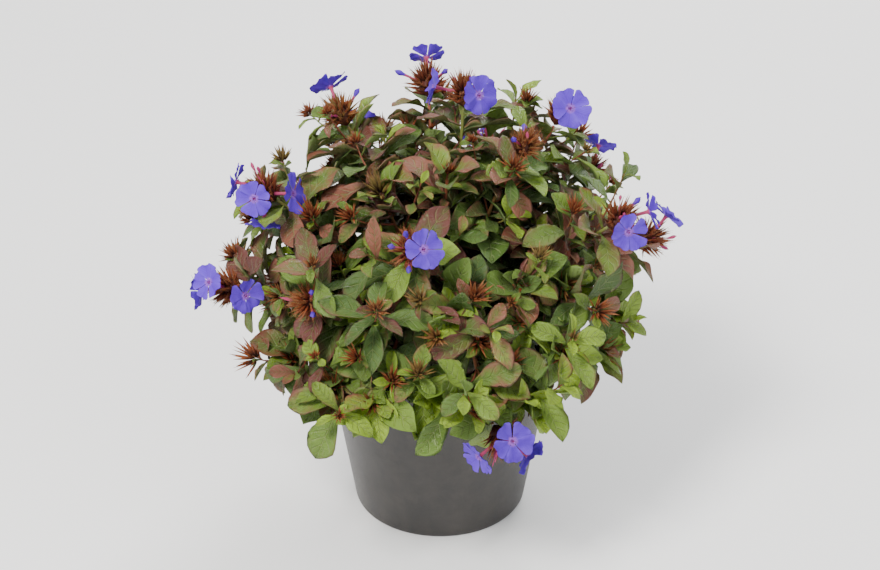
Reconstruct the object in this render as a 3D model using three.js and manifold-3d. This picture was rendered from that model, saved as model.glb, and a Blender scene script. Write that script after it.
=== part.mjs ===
// Potted hardy plumbago: a round nursery pot, its soil, and a mound of arching leafy stems.
// Most stems end in a bristly flower head with five-lobed blooms, the others in young leaves.
// Millimetres, +Z up. The origin is the middle of the pot's underside, and -Y is the front.
import * as THREE from "three";
import { mergeVertices } from "three/addons/utils/BufferGeometryUtils.js";
import Module from "manifold-3d";

const wasm = await Module();
wasm.setup();

// Pot
const POT_HEIGHT = 100;
const RIM_RADIUS = 65;
const BAND_HEIGHT = 12;
const BODY_TOP_RADIUS = 60.6;
const BASE_RADIUS = 46;
const WALL = 1.2;
const DRAIN_HOLES = 8;
const DRAIN_RADIUS = 3.4;
const DRAIN_CIRCLE = 33;
const SEGMENTS = 28;

// Soil
const SOIL_LEVEL = 86;
const SOIL_RELIEF = 1.6;
const GAP = 0.35;

// Stems
const ROOT_DEPTH = 12;
const STEM_FOOT_RADIUS = 1.6;
const STEM_TIP_RADIUS = 0.95;
const STEM_SIDES = 4;
const STEM_STATIONS = [0, 0.14, 0.28, 0.42, 0.56, 0.7, 0.85, 1];
const SIDE_STATIONS = [0, 0.33, 0.67, 1];

// Leaves
const LEAF_LENGTH = 36;
const LEAF_WIDTH = 0.54;
const LEAF_THICKNESS = 1.3;
const LEAF_SPACING = 11.8;
const FULL_RANKS = 5;
const LEAF_CLEARANCE = 1.75;
const DIVERGENCE = 137.5;
const LOWEST_LEAF = 38;

// Heads and blooms
const HEAD_SPIKE = 6.2;
const BLOOM_RADIUS = 10.2;
const TUBE_LENGTH = 13;
const TUBE_RADIUS = 0.95;
const TUBE_ROOT = 1.6;
const BLOOM_APART = Math.cos(1.06);

const SLIVER = 0.05;
const SEED = 4.7;

// Each shoot has its tip (x, y and height over the rim), the distance of its foot from the
// middle of the pot, the height to which it rises before it leans out, and the elevation of its
// end. blooms lists the bearing and elevation of each open flower; without it the tip is leafy.
const SHOOTS = [
  { tip: [-84, -10, 88], foot: 26, rise: 50, aim: 42, blooms: [[166, 24], [-24, 30], [-76, -2], [-130, -28]] },
  { tip: [-102, -22, 42], foot: 38, rise: 58, aim: 12, blooms: [[178, 2], [-62, 4], [-112, 38]] },
  { tip: [-62, -48, 49], foot: 30, rise: 44, aim: 30, blooms: [] },
  { tip: [-14, -52, 80], foot: 27, rise: 50, aim: 48, blooms: [[-38, 32]] },
  { tip: [27, -86, 0], foot: 40, rise: 118, aim: -38, blooms: [[-66, 44], [-142, -4], [-20, -30]] },
  { tip: [62, -60, 24], foot: 38, rise: 62, aim: 10 },
  { tip: [-30, -16, 94], foot: 14, rise: 52, aim: 70 },
  { tip: [4, -12, 104], foot: 7, rise: 52, aim: 80 },
  { tip: [40, -4, 110], foot: 17, rise: 60, aim: 62, blooms: [] },
  { tip: [60, 38, 106], foot: 29, rise: 60, aim: 56, blooms: [[-80, 40]] },
  { tip: [12, 24, 124], foot: 12, rise: 70, aim: 78, blooms: [[-60, 30], [170, 36]] },
  { tip: [-6, 58, 112], foot: 27, rise: 70, aim: 64, blooms: [[100, 30]] },
  { tip: [86, -24, 80], foot: 30, rise: 50, aim: 40, blooms: [[-84, 6], [-14, 30]] },
  { tip: [103, 20, 44], foot: 40, rise: 58, aim: 14, blooms: [[20, 20]] },
  { tip: [76, 68, 58], foot: 42, rise: 56, aim: 26, blooms: [[64, 30]] },
  { tip: [24, 98, 52], foot: 41, rise: 56, aim: 24, blooms: [[110, 20]] },
  { tip: [-44, 84, 62], foot: 37, rise: 54, aim: 36, blooms: [[90, 30]] },
  { tip: [-86, 44, 56], foot: 38, rise: 54, aim: 28 },
  { tip: [-48, 26, 112], foot: 20, rise: 62, aim: 62, blooms: [[130, 30]] },
  { tip: [-34, -84, 12], foot: 42, rise: 66, aim: -12 },
];

// Leafy side shoots, each from a point along one of the shoots: the first ones lean out over the
// rim, and the last ones fill the plant above them.
const SIDES = [
  { on: 17, from: 0.2, tip: [-86, 12, 12], aim: 5 },
  { on: 1, from: 0.2, tip: [-76, -38, 8], aim: 0 },
  { on: 2, from: 0.22, tip: [-54, -68, 10], aim: 10 },
  { on: 19, from: 0.24, tip: [-4, -82, 14], aim: 0 },
  { on: 4, from: 0.16, tip: [46, -72, 2], aim: -10 },
  { on: 5, from: 0.2, tip: [80, -34, 10], aim: 5 },
  { on: 13, from: 0.2, tip: [88, -2, 12], aim: 10 },
  { on: 13, from: 0.26, tip: [82, 42, 16], aim: 10 },
  { on: 14, from: 0.22, tip: [52, 78, 12], aim: 0 },
  { on: 15, from: 0.2, tip: [-10, 90, 14], aim: 10 },
  { on: 16, from: 0.22, tip: [-66, 62, 10], aim: 5 },
  { on: 3, from: 0.34, tip: [-36, -60, 44], aim: 20 },
  { on: 7, from: 0.36, tip: [6, -62, 52], aim: 25 },
  { on: 8, from: 0.36, tip: [42, -46, 58], aim: 30 },
  { on: 9, from: 0.3, tip: [70, 14, 60], aim: 30 },
  { on: 18, from: 0.36, tip: [-64, 16, 58], aim: 25 },
  { on: 11, from: 0.32, tip: [-18, 68, 54], aim: 25 },
  { on: 10, from: 0.4, tip: [38, 54, 74], aim: 35 },
  { on: 12, from: 0.34, tip: [62, -34, 50], aim: 20 },
  { on: 16, from: 0.36, tip: [-50, 58, 46], aim: 20 },
];

// Other places that a leaf tries, in this order, until it stands clear.
const TRIES = [];
for (const size of [1, 0.86, 0.72]) {
  for (const pitch of [0, -14, 14, 26]) {
    for (const turn of [0, 18, -18, 36, -36, 54, -54]) TRIES.push({ size, pitch, turn });
  }
}

const UP = new THREE.Vector3(0, 0, 1);
const rad = THREE.MathUtils.degToRad;
const vec = (x, y, z) => new THREE.Vector3(x, y, z);
const polar = (radius, angle, z) => vec(radius * Math.cos(angle), radius * Math.sin(angle), z);

// The same number from 0 to 1 for the same keys.
function draw(a, b = 0, c = 0) {
  const s = Math.sin(a * 12.9898 + b * 78.233 + c * 37.719 + SEED) * 43758.5453;
  return s - Math.floor(s);
}

// A closed solid of three.js geometry, with its shared corners merged and its slivers left out.
function toSolid(geometry) {
  const bare = geometry.clone();
  for (const name of Object.keys(bare.attributes)) {
    if (name !== "position") bare.deleteAttribute(name);
  }
  const merged = mergeVertices(bare, 1e-4);
  const index = merged.index.array;
  const kept = [];
  for (let i = 0; i < index.length; i += 3) {
    const [a, b, c] = [index[i], index[i + 1], index[i + 2]];
    if (a !== b && b !== c && c !== a) kept.push(a, b, c);
  }
  return new wasm.Manifold(
    new wasm.Mesh({
      numProp: 3,
      vertProperties: new Float32Array(merged.attributes.position.array),
      triVerts: new Uint32Array(kept),
    }),
  );
}

// The solid as flat-shaded geometry, without the slivers that a cut leaves.
function toGeometry(solid) {
  const mesh = solid.asOriginal().simplify(SLIVER).getMesh();
  const geometry = new THREE.BufferGeometry();
  geometry.setAttribute("position", new THREE.BufferAttribute(mesh.vertProperties, 3));
  geometry.setIndex(new THREE.BufferAttribute(mesh.triVerts, 1));
  const flat = geometry.toNonIndexed();
  flat.computeVertexNormals();
  return flat;
}

// The largest body of a solid: what a cut leaves loose is dropped.
function largest(solid) {
  const bodies = solid.decompose();
  return bodies.reduce((a, b) => (b.volume() > a.volume() ? b : a));
}

function geometryOf(points, faces) {
  const geometry = new THREE.BufferGeometry().setFromPoints(points);
  geometry.setIndex(faces.flat());
  return geometry;
}

// A closed skin through rings of points. A ring of one point is a tip, a first ring of two is the
// upright edge that a blade of four sides starts from, and any other end is closed flat. Every
// second side is split the other way, so that the two faces of a blade are split alike.
function loft(rings) {
  const points = rings.flat();
  const faces = [];
  const sides = Math.max(...rings.map((ring) => ring.length));
  let start = 0;
  if (rings[0].length === 2) {
    faces.push([0, 3, 2], [1, 0, 2], [1, 2, 5], [0, 4, 3], [0, 1, 4], [1, 5, 4]);
    start = 2;
  }
  for (let r = start ? 1 : 0; r + 1 < rings.length; r += 1) {
    const next = start + rings[r].length;
    for (let j = 0; j < sides; j += 1) {
      const k = (j + 1) % sides;
      if (rings[r].length === 1) faces.push([start, next + k, next + j]);
      else if (rings[r + 1].length === 1) faces.push([start + j, start + k, next]);
      else if (j % 2) faces.push([start + j, start + k, next + j], [start + k, next + k, next + j]);
      else faces.push([start + j, start + k, next + k], [start + j, next + k, next + j]);
    }
    start = next;
  }
  for (let j = 1; j + 1 < sides; j += 1) {
    if (rings[0].length > 2) faces.push([0, j + 1, j]);
    if (rings.at(-1).length > 1) faces.push([start, start + j, start + j + 1]);
  }
  return geometryOf(points, faces);
}

const bodySlope = (BODY_TOP_RADIUS - BASE_RADIUS) / (POT_HEIGHT - BAND_HEIGHT);
const outerWall = (z) => BASE_RADIUS + bodySlope * z;

// A thin wall with a ledge under its rim band, and a floor that is flat in the middle, stands on
// a foot ring and is raised between the two, where the drain holes are.
function makePot() {
  const ledge = POT_HEIGHT - BAND_HEIGHT;
  const profile = [
    [0, 0], [21, 0], [23.5, 3], [41.5, 3], [43, 0], [BASE_RADIUS - 0.8, 0], [outerWall(1.5), 1.5],
    [BODY_TOP_RADIUS, ledge], [RIM_RADIUS - 2.2, ledge + 1.6], [RIM_RADIUS - 1.3, POT_HEIGHT - 2],
    [RIM_RADIUS, POT_HEIGHT - 1.4], [RIM_RADIUS - 0.3, POT_HEIGHT], [RIM_RADIUS - 2.1, POT_HEIGHT],
    [RIM_RADIUS - 3.4, ledge + 2.6], [BODY_TOP_RADIUS - WALL, ledge + 1],
    [outerWall(4.2) - WALL, 4.2], [22.8, 4.2], [20.3, WALL], [0, WALL],
  ].map(([r, z]) => new THREE.Vector2(r, z));
  let pot = toSolid(new THREE.LatheGeometry(profile, SEGMENTS).rotateX(Math.PI / 2));
  for (let i = 0; i < DRAIN_HOLES; i += 1) {
    const at = polar(DRAIN_CIRCLE, (2 * Math.PI * (i + 0.5)) / DRAIN_HOLES, 3.6);
    const drill = new THREE.CylinderGeometry(DRAIN_RADIUS, DRAIN_RADIUS, 4, 8);
    drill.rotateX(Math.PI / 2).translate(at.x, at.y, at.z);
    pot = pot.subtract(toSolid(drill));
  }
  return pot;
}

const soilHeight = (x, y) =>
  SOIL_LEVEL +
  SOIL_RELIEF * (0.6 * Math.sin(x * 0.17 + 1) * Math.cos(y * 0.13) + 0.4 * Math.sin((x + 2 * y) * 0.29));

// The root ball fills the pot, with a gap to its wall, under a surface of low clods.
function makeSoil() {
  const edge = outerWall(SOIL_LEVEL) - WALL - GAP;
  const foot = outerWall(4.6) - WALL - GAP;
  const ring = (radius, height) =>
    Array.from({ length: SEGMENTS }, (_, j) => {
      const p = polar(radius, (2 * Math.PI * j) / SEGMENTS, 0);
      return vec(p.x, p.y, height(p.x, p.y));
    });
  return toSolid(
    loft([
      [vec(0, 0, 4.6)],
      ring(foot, () => 4.6),
      ring(edge - bodySlope * 2.4, () => SOIL_LEVEL - 2.4),
      ring(edge - 2.5, soilHeight),
      ring(46, soilHeight),
      ring(33, soilHeight),
      ring(19, soilHeight),
      ring(8, soilHeight),
      [vec(0, 0, soilHeight(0, 0))],
    ]),
  );
}

// The curve of a shoot: out of the soil beside the middle, up, and over to its tip.
function shootCurve({ tip, foot, rise, aim }, i) {
  const end = vec(tip[0], tip[1], POT_HEIGHT + tip[2]);
  const start = polar(foot, Math.atan2(tip[1], tip[0]), SOIL_LEVEL - ROOT_DEPTH);
  const out = vec(end.x - start.x, end.y - start.y, 0).normalize();
  const side = vec(-out.y, out.x, 0);
  const handle = 0.36 * end.distanceTo(start);
  const first = start.clone().addScaledVector(side, 12 * (draw(i, 1) - 0.5));
  first.addScaledVector(out, 3).setZ(POT_HEIGHT + rise);
  const last = end.clone().addScaledVector(out, -handle * Math.cos(rad(aim)));
  last.addScaledVector(UP, -handle * Math.sin(rad(aim))).addScaledVector(side, 16 * (draw(i, 2) - 0.5));
  return { stem: i, curve: new THREE.CubicBezierCurve3(start, first, last, end), side };
}

// A side shoot leaves its stem level and outward.
function sideCurve({ on, from, tip, aim }) {
  const start = shoots[on].curve.getPoint(from);
  const end = vec(tip[0], tip[1], POT_HEIGHT + tip[2]);
  const out = vec(end.x - start.x, end.y - start.y, 0).normalize();
  const handle = 0.38 * end.distanceTo(start);
  const first = start.clone().addScaledVector(out, handle).addScaledVector(UP, 0.5 * handle);
  const last = end.clone().addScaledVector(out, -handle * Math.cos(rad(aim)));
  last.addScaledVector(UP, -handle * Math.sin(rad(aim)));
  return {
    stem: on,
    curve: new THREE.CubicBezierCurve3(start, first, last, end),
    side: vec(-out.y, out.x, 0),
  };
}

// The point, tangent and two cross directions of a shoot at t.
function frameAt(shoot, t) {
  const at = shoot.curve.getPoint(t);
  const along = shoot.curve.getTangent(Math.max(t, 0));
  const u = shoot.side.clone().addScaledVector(along, -shoot.side.dot(along)).normalize();
  return { at, along, u, v: along.clone().cross(u) };
}

const stemRadius = (t) => STEM_FOOT_RADIUS + (STEM_TIP_RADIUS - STEM_FOOT_RADIUS) * t;

// A stem of few sides through the given stations, or the hole for it, which is wider by grow.
function stalk(shoot, stations, grow) {
  const rings = stations.map((t) => {
    const { at, u, v } = frameAt(shoot, t);
    const radius = stemRadius(t) + grow;
    return Array.from({ length: STEM_SIDES }, (_, j) => {
      const { x, y } = polar(radius, (2 * Math.PI * j) / STEM_SIDES, 0);
      return at.clone().addScaledVector(u, x).addScaledVector(v, y);
    });
  });
  return toSolid(loft(rings));
}

// Half width along a leaf, as a share of its greatest, which is past the middle. Its foot is
// inside the stem. Leaves deep in the plant have a plainer outline.
const LEAF_STATIONS = [
  [0.3, 0.46],
  [0.6, 1],
  [0.84, 0.74],
];
const INNER_STATIONS = [
  [0.42, 0.76],
  [0.76, 0.94],
];

// Where a leaf of a shoot stands and how it is shaped, as its own rule draws it.
function leafAt(shoot, i, k, choice) {
  const { rank, t } = shoot.places[k];
  const { at, along, u, v } = frameAt(shoot, t);
  const young = !shoot.blooms && rank < 5;
  const crown = shoot.blooms && rank < 4;
  const turn = rad(360 * draw(i, 3) + DIVERGENCE * rank + 24 * (draw(i, k, 4) - 0.5) + choice.turn);
  let pitch = 60 + 16 * draw(i, k, 5);
  if (young) pitch = 24 + 9 * rank;
  if (crown) pitch = 70 + 10 * draw(i, k, 5);
  pitch = rad(pitch + choice.pitch);
  const radial = vec(at.x, at.y, 0).multiplyScalar(1 / Math.max(40, Math.hypot(at.x, at.y)));
  const dir = along
    .clone()
    .multiplyScalar(Math.cos(pitch))
    .addScaledVector(u, Math.sin(pitch) * Math.cos(turn))
    .addScaledVector(v, Math.sin(pitch) * Math.sin(turn))
    .addScaledVector(radial, 0.3)
    .addScaledVector(UP, 0.12)
    .normalize();
  const face = along
    .clone()
    .multiplyScalar(0.45)
    .addScaledVector(UP, 0.8)
    .addScaledVector(radial, 0.35)
    .addScaledVector(u, 0.3 * (draw(i, k, 6) - 0.5))
    .addScaledVector(v, 0.3 * (draw(i, k, 7) - 0.5));
  const normal = face.addScaledVector(dir, -face.dot(dir)).normalize();
  const grown = young ? 0.62 + 0.07 * rank : crown ? 0.78 : 0.86 + 0.05 * Math.min(rank - 3, 4);
  const length = LEAF_LENGTH * grown * (0.88 + 0.24 * draw(i, k, 8)) * choice.size;
  return {
    at,
    dir,
    normal,
    side: dir.clone().cross(normal),
    length,
    half: 0.5 * LEAF_WIDTH * length * (0.9 + 0.2 * draw(i, k, 9)),
    bend: rad(18 + 40 * draw(i, k, 10)),
    fold: rad(14 + 16 * draw(i, k, 11)),
    wave: 1.1 + 0.9 * draw(i, k, 12),
    phase: 6.283 * draw(i, k, 13),
    stations: rank < FULL_RANKS ? LEAF_STATIONS : INNER_STATIONS,
  };
}

// The middle of a leaf at t and its edges: an arch along its length, a fold along its rib and a
// wave along each margin.
function leafSection(leaf, t, share) {
  const bent = leaf.bend * t;
  const mid = leaf.at
    .clone()
    .addScaledVector(leaf.dir, (leaf.length * Math.sin(bent)) / leaf.bend)
    .addScaledVector(leaf.normal, (-leaf.length * (1 - Math.cos(bent))) / leaf.bend);
  const normal = leaf.normal
    .clone()
    .multiplyScalar(Math.cos(bent))
    .addScaledVector(leaf.dir, Math.sin(bent));
  const width = leaf.half * share;
  const edge = (way) =>
    mid
      .clone()
      .addScaledVector(leaf.side, way * width * Math.cos(leaf.fold))
      .addScaledVector(
        normal,
        width * Math.sin(leaf.fold) + share * leaf.wave * Math.sin(leaf.phase + way + 7 * t),
      );
  return { mid, normal, left: edge(-1), right: edge(1) };
}

function leafSolid(leaf) {
  const off = ({ mid, normal }, way) => mid.clone().addScaledVector(normal, 0.5 * way * LEAF_THICKNESS);
  const foot = leafSection(leaf, 0, 0);
  const rings = leaf.stations.map(([t, share]) => {
    const section = leafSection(leaf, t, share);
    return [section.left, off(section, 1), section.right, off(section, -1)];
  });
  return toSolid(loft([[off(foot, 0.8), off(foot, -0.8)], ...rings, [leafSection(leaf, 1, 0).mid]]));
}

// The middle surface of a leaf, as triangles and as points close enough to find any crossing.
function leafSkin(leaf) {
  const stations = [[0, 0], ...leaf.stations, [1, 0]];
  const sections = stations.map(([t, share]) => leafSection(leaf, t, share));
  const triangles = [];
  const points = [];
  for (let s = 0; s + 1 < sections.length; s += 1) {
    const [a, b] = [sections[s], sections[s + 1]];
    for (const way of ["left", "right"]) {
      triangles.push(new THREE.Triangle(a[way], a.mid, b.mid), new THREE.Triangle(a[way], b.mid, b[way]));
      for (const p of [0.25, 0.5, 0.75, 1]) {
        for (const q of [0, 0.5, 1]) {
          const low = a[way].clone().lerp(a.mid, q);
          const high = b[way].clone().lerp(b.mid, q);
          points.push(low.lerp(high, p));
        }
      }
    }
  }
  const ball = new THREE.Sphere().setFromPoints(points);
  return { leaf, triangles, points, ball };
}

const nearest = vec(0, 0, 0);
function tooClose(triangles, point, distance) {
  for (const triangle of triangles) {
    triangle.closestPointToPoint(point, nearest);
    if (nearest.distanceTo(point) < distance) return true;
  }
  return false;
}

// A leaf is clear when it keeps off the pot and its soil, the other stems, every head and bloom,
// and the leaves that already stand.
function isClear(skin, stem, beads, standing) {
  for (const p of skin.points) {
    if (Math.hypot(p.x, p.y) < RIM_RADIUS + 2 && p.z < POT_HEIGHT + 2) return false;
    if (p.z < LOWEST_LEAF) return false;
  }
  for (const bead of beads) {
    if (bead.stem === stem) continue;
    if (bead.at.distanceTo(skin.ball.center) > skin.ball.radius + bead.radius + 2) continue;
    if (tooClose(skin.triangles, bead.at, bead.radius + 1.1)) return false;
  }
  for (const other of standing) {
    if (!other.ball.intersectsSphere(skin.ball)) continue;
    const own = other.stem === stem;
    const far = (p) => !own || (p.distanceTo(skin.leaf.at) > 4.5 && p.distanceTo(other.leaf.at) > 4.5);
    for (const p of skin.points) {
      if (far(p) && tooClose(other.triangles, p, LEAF_CLEARANCE)) return false;
    }
    for (const p of other.points) {
      if (far(p) && tooClose(skin.triangles, p, LEAF_CLEARANCE)) return false;
    }
  }
  return true;
}

// Rings of six points round a head's core: radius, height and turn in steps, for a size of 1.
const HEAD_RINGS = [
  [3.2, 2, 0],
  [4.9, 6.2, 0.5],
  [3.5, 10.2, 0],
];

// The facets of a head's core: its points, the low ones that stay plain, and those above.
function headCore(size) {
  const points = [vec(0, 0, 0)];
  for (const [radius, z, shift] of HEAD_RINGS) {
    for (let j = 0; j < 6; j += 1) points.push(polar(radius * size, rad(60 * (j + shift)), z * size));
  }
  points.push(vec(0, 0, 12.4 * size));
  const low = [];
  const high = [];
  const at = (ring, j) => 1 + 6 * ring + ((j + 6) % 6);
  for (let j = 0; j < 6; j += 1) {
    low.push([0, at(0, j + 1), at(0, j)]);
    high.push([at(0, j), at(0, j + 1), at(1, j)]);
    high.push([at(0, j + 1), at(1, j + 1), at(1, j)]);
    high.push([at(1, j), at(1, j + 1), at(2, j + 1)]);
    high.push([at(1, j + 1), at(2, j + 2), at(2, j + 1)]);
    high.push([at(2, j), at(2, j + 1), points.length - 1]);
  }
  return { points, low, high };
}

function facet(points, [a, b, c]) {
  const triangle = new THREE.Triangle(points[a], points[b], points[c]);
  return { middle: triangle.getMidpoint(vec(0, 0, 0)), normal: triangle.getNormal(vec(0, 0, 0)) };
}

// Each upper facet carries a pointed bract, but for those that a bloom's tube stands in.
function makeHead(head, i) {
  const { points, low, high } = headCore(head.size);
  const faces = [...low];
  high.forEach((face, f) => {
    if (head.open.some((bloom) => bloom.face === f)) {
      faces.push(face);
      return;
    }
    const { middle, normal } = facet(points, face);
    const jitter = vec(draw(i, f, 21) - 0.5, draw(i, f, 22) - 0.5, draw(i, f, 23) - 0.5);
    const way = normal.multiplyScalar(0.8).addScaledVector(UP, 0.34).addScaledVector(jitter, 0.4).normalize();
    const reach = HEAD_SPIKE * head.size * (0.82 + 0.3 * draw(i, f, 24));
    const apex = points.push(middle.addScaledVector(way, reach)) - 1;
    for (let e = 0; e < 3; e += 1) faces.push([face[e], face[(e + 1) % 3], apex]);
  });
  let solid = toSolid(geometryOf(points, faces));
  for (const bloom of head.open) {
    const socket = new THREE.CylinderGeometry(TUBE_RADIUS + GAP, TUBE_RADIUS + GAP, 9, 5);
    socket.rotateX(Math.PI / 2).translate(0, 0, 4.5 - GAP);
    socket.applyQuaternion(bloom.turn).translate(bloom.at.x, bloom.at.y, bloom.at.z);
    solid = solid.subtract(toSolid(socket));
  }
  return largest(solid);
}

// A narrow tube with five lobes, each with a rib and a notched end, that spread flat at its mouth.
function bloomGeometry() {
  const points = [];
  const faces = [];
  const add = (radius, angle, z) => points.push(polar(radius, angle, z)) - 1;
  const slot = (2 * Math.PI) / 5;
  const throat = add(0, 0, TUBE_LENGTH - 0.4);
  const foot = Array.from({ length: 5 }, (_, j) => add(TUBE_RADIUS, slot * j, 0));
  const neck = Array.from({ length: 5 }, (_, j) => add(TUBE_RADIUS * 1.35, slot * j, TUBE_LENGTH - 1.4));
  const cleft = Array.from({ length: 5 }, (_, j) => add(3.3, slot * j, TUBE_LENGTH));
  for (let j = 0; j < 5; j += 1) {
    const k = (j + 1) % 5;
    const mid = slot * (j + 0.5);
    const lift = 0.5 * Math.sin(2.4 * j);
    const rib = add(BLOOM_RADIUS * 0.56, mid, TUBE_LENGTH + 0.5 + lift);
    const before = add(BLOOM_RADIUS * 0.9, mid - 0.53, TUBE_LENGTH + 0.6 - lift);
    const notch = add(BLOOM_RADIUS * 0.96, mid, TUBE_LENGTH - 0.3);
    const after = add(BLOOM_RADIUS * 0.9, mid + 0.53, TUBE_LENGTH - 0.2 + lift);
    faces.push([throat, cleft[j], rib], [throat, rib, cleft[k]]);
    faces.push([cleft[j], before, rib], [before, notch, rib], [notch, after, rib], [after, cleft[k], rib]);
    faces.push([before, cleft[j], neck[j]], [notch, before, neck[j]], [notch, neck[j], neck[k]]);
    faces.push([notch, neck[k], after], [after, neck[k], cleft[k]]);
    faces.push([foot[j], foot[k], neck[k]], [foot[j], neck[k], neck[j]]);
  }
  for (let j = 1; j < 4; j += 1) faces.push([foot[0], foot[j + 1], foot[j]]);
  return geometryOf(points, faces);
}

// Gives each bloom the facet that looks most nearly its way, at a free angle from the others.
function openBlooms(head) {
  const { points, high } = headCore(head.size);
  const facets = high.map((face, f) => ({ f, ...facet(points, face) }));
  const inverse = head.turn.clone().invert();
  const taken = [];
  return head.blooms.map(([bearing, elevation], b) => {
    const want = polar(Math.cos(rad(elevation)), rad(bearing), Math.sin(rad(elevation)));
    want.applyQuaternion(inverse);
    const free = facets.filter(({ normal }) => taken.every((other) => normal.dot(other) < BLOOM_APART));
    const best = free.reduce((a, c) => (c.normal.dot(want) > a.normal.dot(want) ? c : a));
    const { f: face, middle, normal } = best;
    taken.push(normal);
    const turn = new THREE.Quaternion().setFromUnitVectors(UP, normal);
    turn.multiply(new THREE.Quaternion().setFromAxisAngle(UP, 6.283 * draw(face, b, 31)));
    return { face, turn, at: middle.clone().addScaledVector(normal, -TUBE_ROOT) };
  });
}

// The places of a shoot's leaves: four close under its tip, the others evenly down to low.
function leafPlaces(shoot, low, crown) {
  const reach = shoot.curve.getPoint(low).distanceTo(shoot.curve.getPoint(1));
  const count = Math.round(reach / LEAF_SPACING) + 3;
  const high = 0.962 - 4 * crown;
  return Array.from({ length: count }, (_, rank) => ({
    rank,
    t: rank < 4 ? 0.975 - crown * rank : high - (high - low) * ((rank - 4) / (count - 4)),
  }));
}

const shoots = [];
SHOOTS.forEach((shoot, i) => {
  const made = { ...shoot, ...shootCurve(shoot, i) };
  made.places = leafPlaces(made, shoot.foot < 30 ? 0.5 : 0.4, 0.02);
  shoots.push(made);
});
for (const shoot of SIDES) {
  const made = { ...shoot, ...sideCurve(shoot) };
  made.places = leafPlaces(made, 0.35, 0.045);
  shoots.push(made);
}

// Heads, each standing on its stem's end, and the blooms that are open on it.
const heads = [];
shoots.forEach((shoot, i) => {
  if (!shoot.blooms) return;
  const { at, along } = frameAt(shoot, 1);
  const turn = new THREE.Quaternion().setFromUnitVectors(UP, along);
  const size = 0.9 + 0.2 * draw(i, 15) + 0.04 * shoot.blooms.length;
  const head = { shoot: i, size, blooms: shoot.blooms, turn };
  head.at = at.clone().addScaledVector(along, GAP);
  head.open = openBlooms(head);
  heads.push(head);
});

// Balls that stand for the stems, heads and blooms where leaves are placed.
const beads = [];
for (const { curve, stem } of shoots) {
  for (let t = 0; t <= 1; t += 0.02) beads.push({ at: curve.getPoint(t), radius: stemRadius(t), stem });
}
for (const head of heads) {
  const place = (p) => p.applyQuaternion(head.turn).add(head.at);
  beads.push({ at: place(vec(0, 0, 3.6 * head.size)), radius: 3.2 * head.size });
  beads.push({ at: place(vec(0, 0, 9.2 * head.size)), radius: 8.9 * head.size });
  for (let j = 0; j < 6; j += 1) {
    const at = place(polar(5.8, rad(60 * j), 5.9).multiplyScalar(head.size));
    beads.push({ at, radius: 4.2 * head.size });
  }
  for (const bloom of head.open) {
    const petal = (radius, angle, z) =>
      place(polar(radius, angle, z).applyQuaternion(bloom.turn).add(bloom.at));
    for (let z = 4; z < TUBE_LENGTH; z += 3) beads.push({ at: petal(0, 0, z), radius: TUBE_RADIUS });
    for (let j = 0; j < 10; j += 1) {
      beads.push({ at: petal(BLOOM_RADIUS * 0.9, rad(36 * j), TUBE_LENGTH), radius: 1.8 });
      beads.push({ at: petal(BLOOM_RADIUS * 0.45, rad(36 * j), TUBE_LENGTH), radius: 1.9 });
    }
  }
}

// Leaves, outermost first over all the shoots, each where it is the first to be clear.
const standing = [];
const most = Math.max(...shoots.map((shoot) => shoot.places.length));
for (let k = 0; k < most; k += 1) {
  shoots.forEach((shoot, i) => {
    if (k >= shoot.places.length) return;
    for (const choice of TRIES) {
      const skin = leafSkin(leafAt(shoot, i, k, choice));
      if (!isClear(skin, shoot.stem, beads, standing)) continue;
      skin.stem = shoot.stem;
      standing.push(skin);
      return;
    }
  });
}

const MATERIALS = {
  pot: { color: 0x3a3632, roughness: 0.7 },
  soil: { color: 0x33241a, roughness: 1 },
  leaf: { color: 0x6f8c4c, roughness: 0.55 },
  bract: { color: 0x9a5a34, roughness: 0.75 },
  petal: { color: 0x6158d8, roughness: 0.6 },
};

const plant = new THREE.Group();
const number = (n) => String(n + 1).padStart(2, "0");

function addMesh(parent, name, geometry, kind) {
  const material = new THREE.MeshStandardMaterial({ ...MATERIALS[kind], metalness: 0 });
  const mesh = new THREE.Mesh(geometry, material);
  mesh.name = name;
  parent.add(mesh);
  return mesh;
}

addMesh(plant, "pot", toGeometry(makePot()), "pot");

let soil = makeSoil();
for (const shoot of shoots.slice(0, SHOOTS.length)) {
  soil = soil.subtract(stalk(shoot, [-0.005, ...STEM_STATIONS.slice(1, 3)], GAP * 1.3));
}
addMesh(plant, "soil", toGeometry(largest(soil)), "soil");

SHOOTS.forEach((_, i) => {
  const leaves = standing.filter((skin) => skin.stem === i).map((skin) => leafSolid(skin.leaf));
  const stalks = shoots
    .filter((shoot) => shoot.stem === i)
    .map((shoot) => stalk(shoot, shoot.on === undefined ? STEM_STATIONS : SIDE_STATIONS, 0));
  const solid = wasm.Manifold.union([...stalks, ...leaves]);
  addMesh(plant, `leafy_stem_${number(i)}`, toGeometry(largest(solid)), "leaf");
});

const bloomShape = bloomGeometry();
for (const head of heads) {
  const group = new THREE.Group();
  group.position.copy(head.at);
  group.quaternion.copy(head.turn);
  plant.add(group);
  const name = number(head.shoot);
  addMesh(group, `flower_head_${name}`, toGeometry(makeHead(head, head.shoot)), "bract");
  head.open.forEach((bloom, b) => {
    const mesh = addMesh(group, `bloom_${name}_${b + 1}`, bloomShape, "petal");
    mesh.position.copy(bloom.at);
    mesh.quaternion.copy(bloom.turn);
  });
}

export default plant;
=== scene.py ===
"""Potted hardy plumbago: a round nursery pot, its peat, and a mound of arching leafy stems with
bristly heads and violet-blue blooms. Lengths in the growth rules are millimetres, and pieces are
made in metres, in the frame's own axes."""

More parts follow.
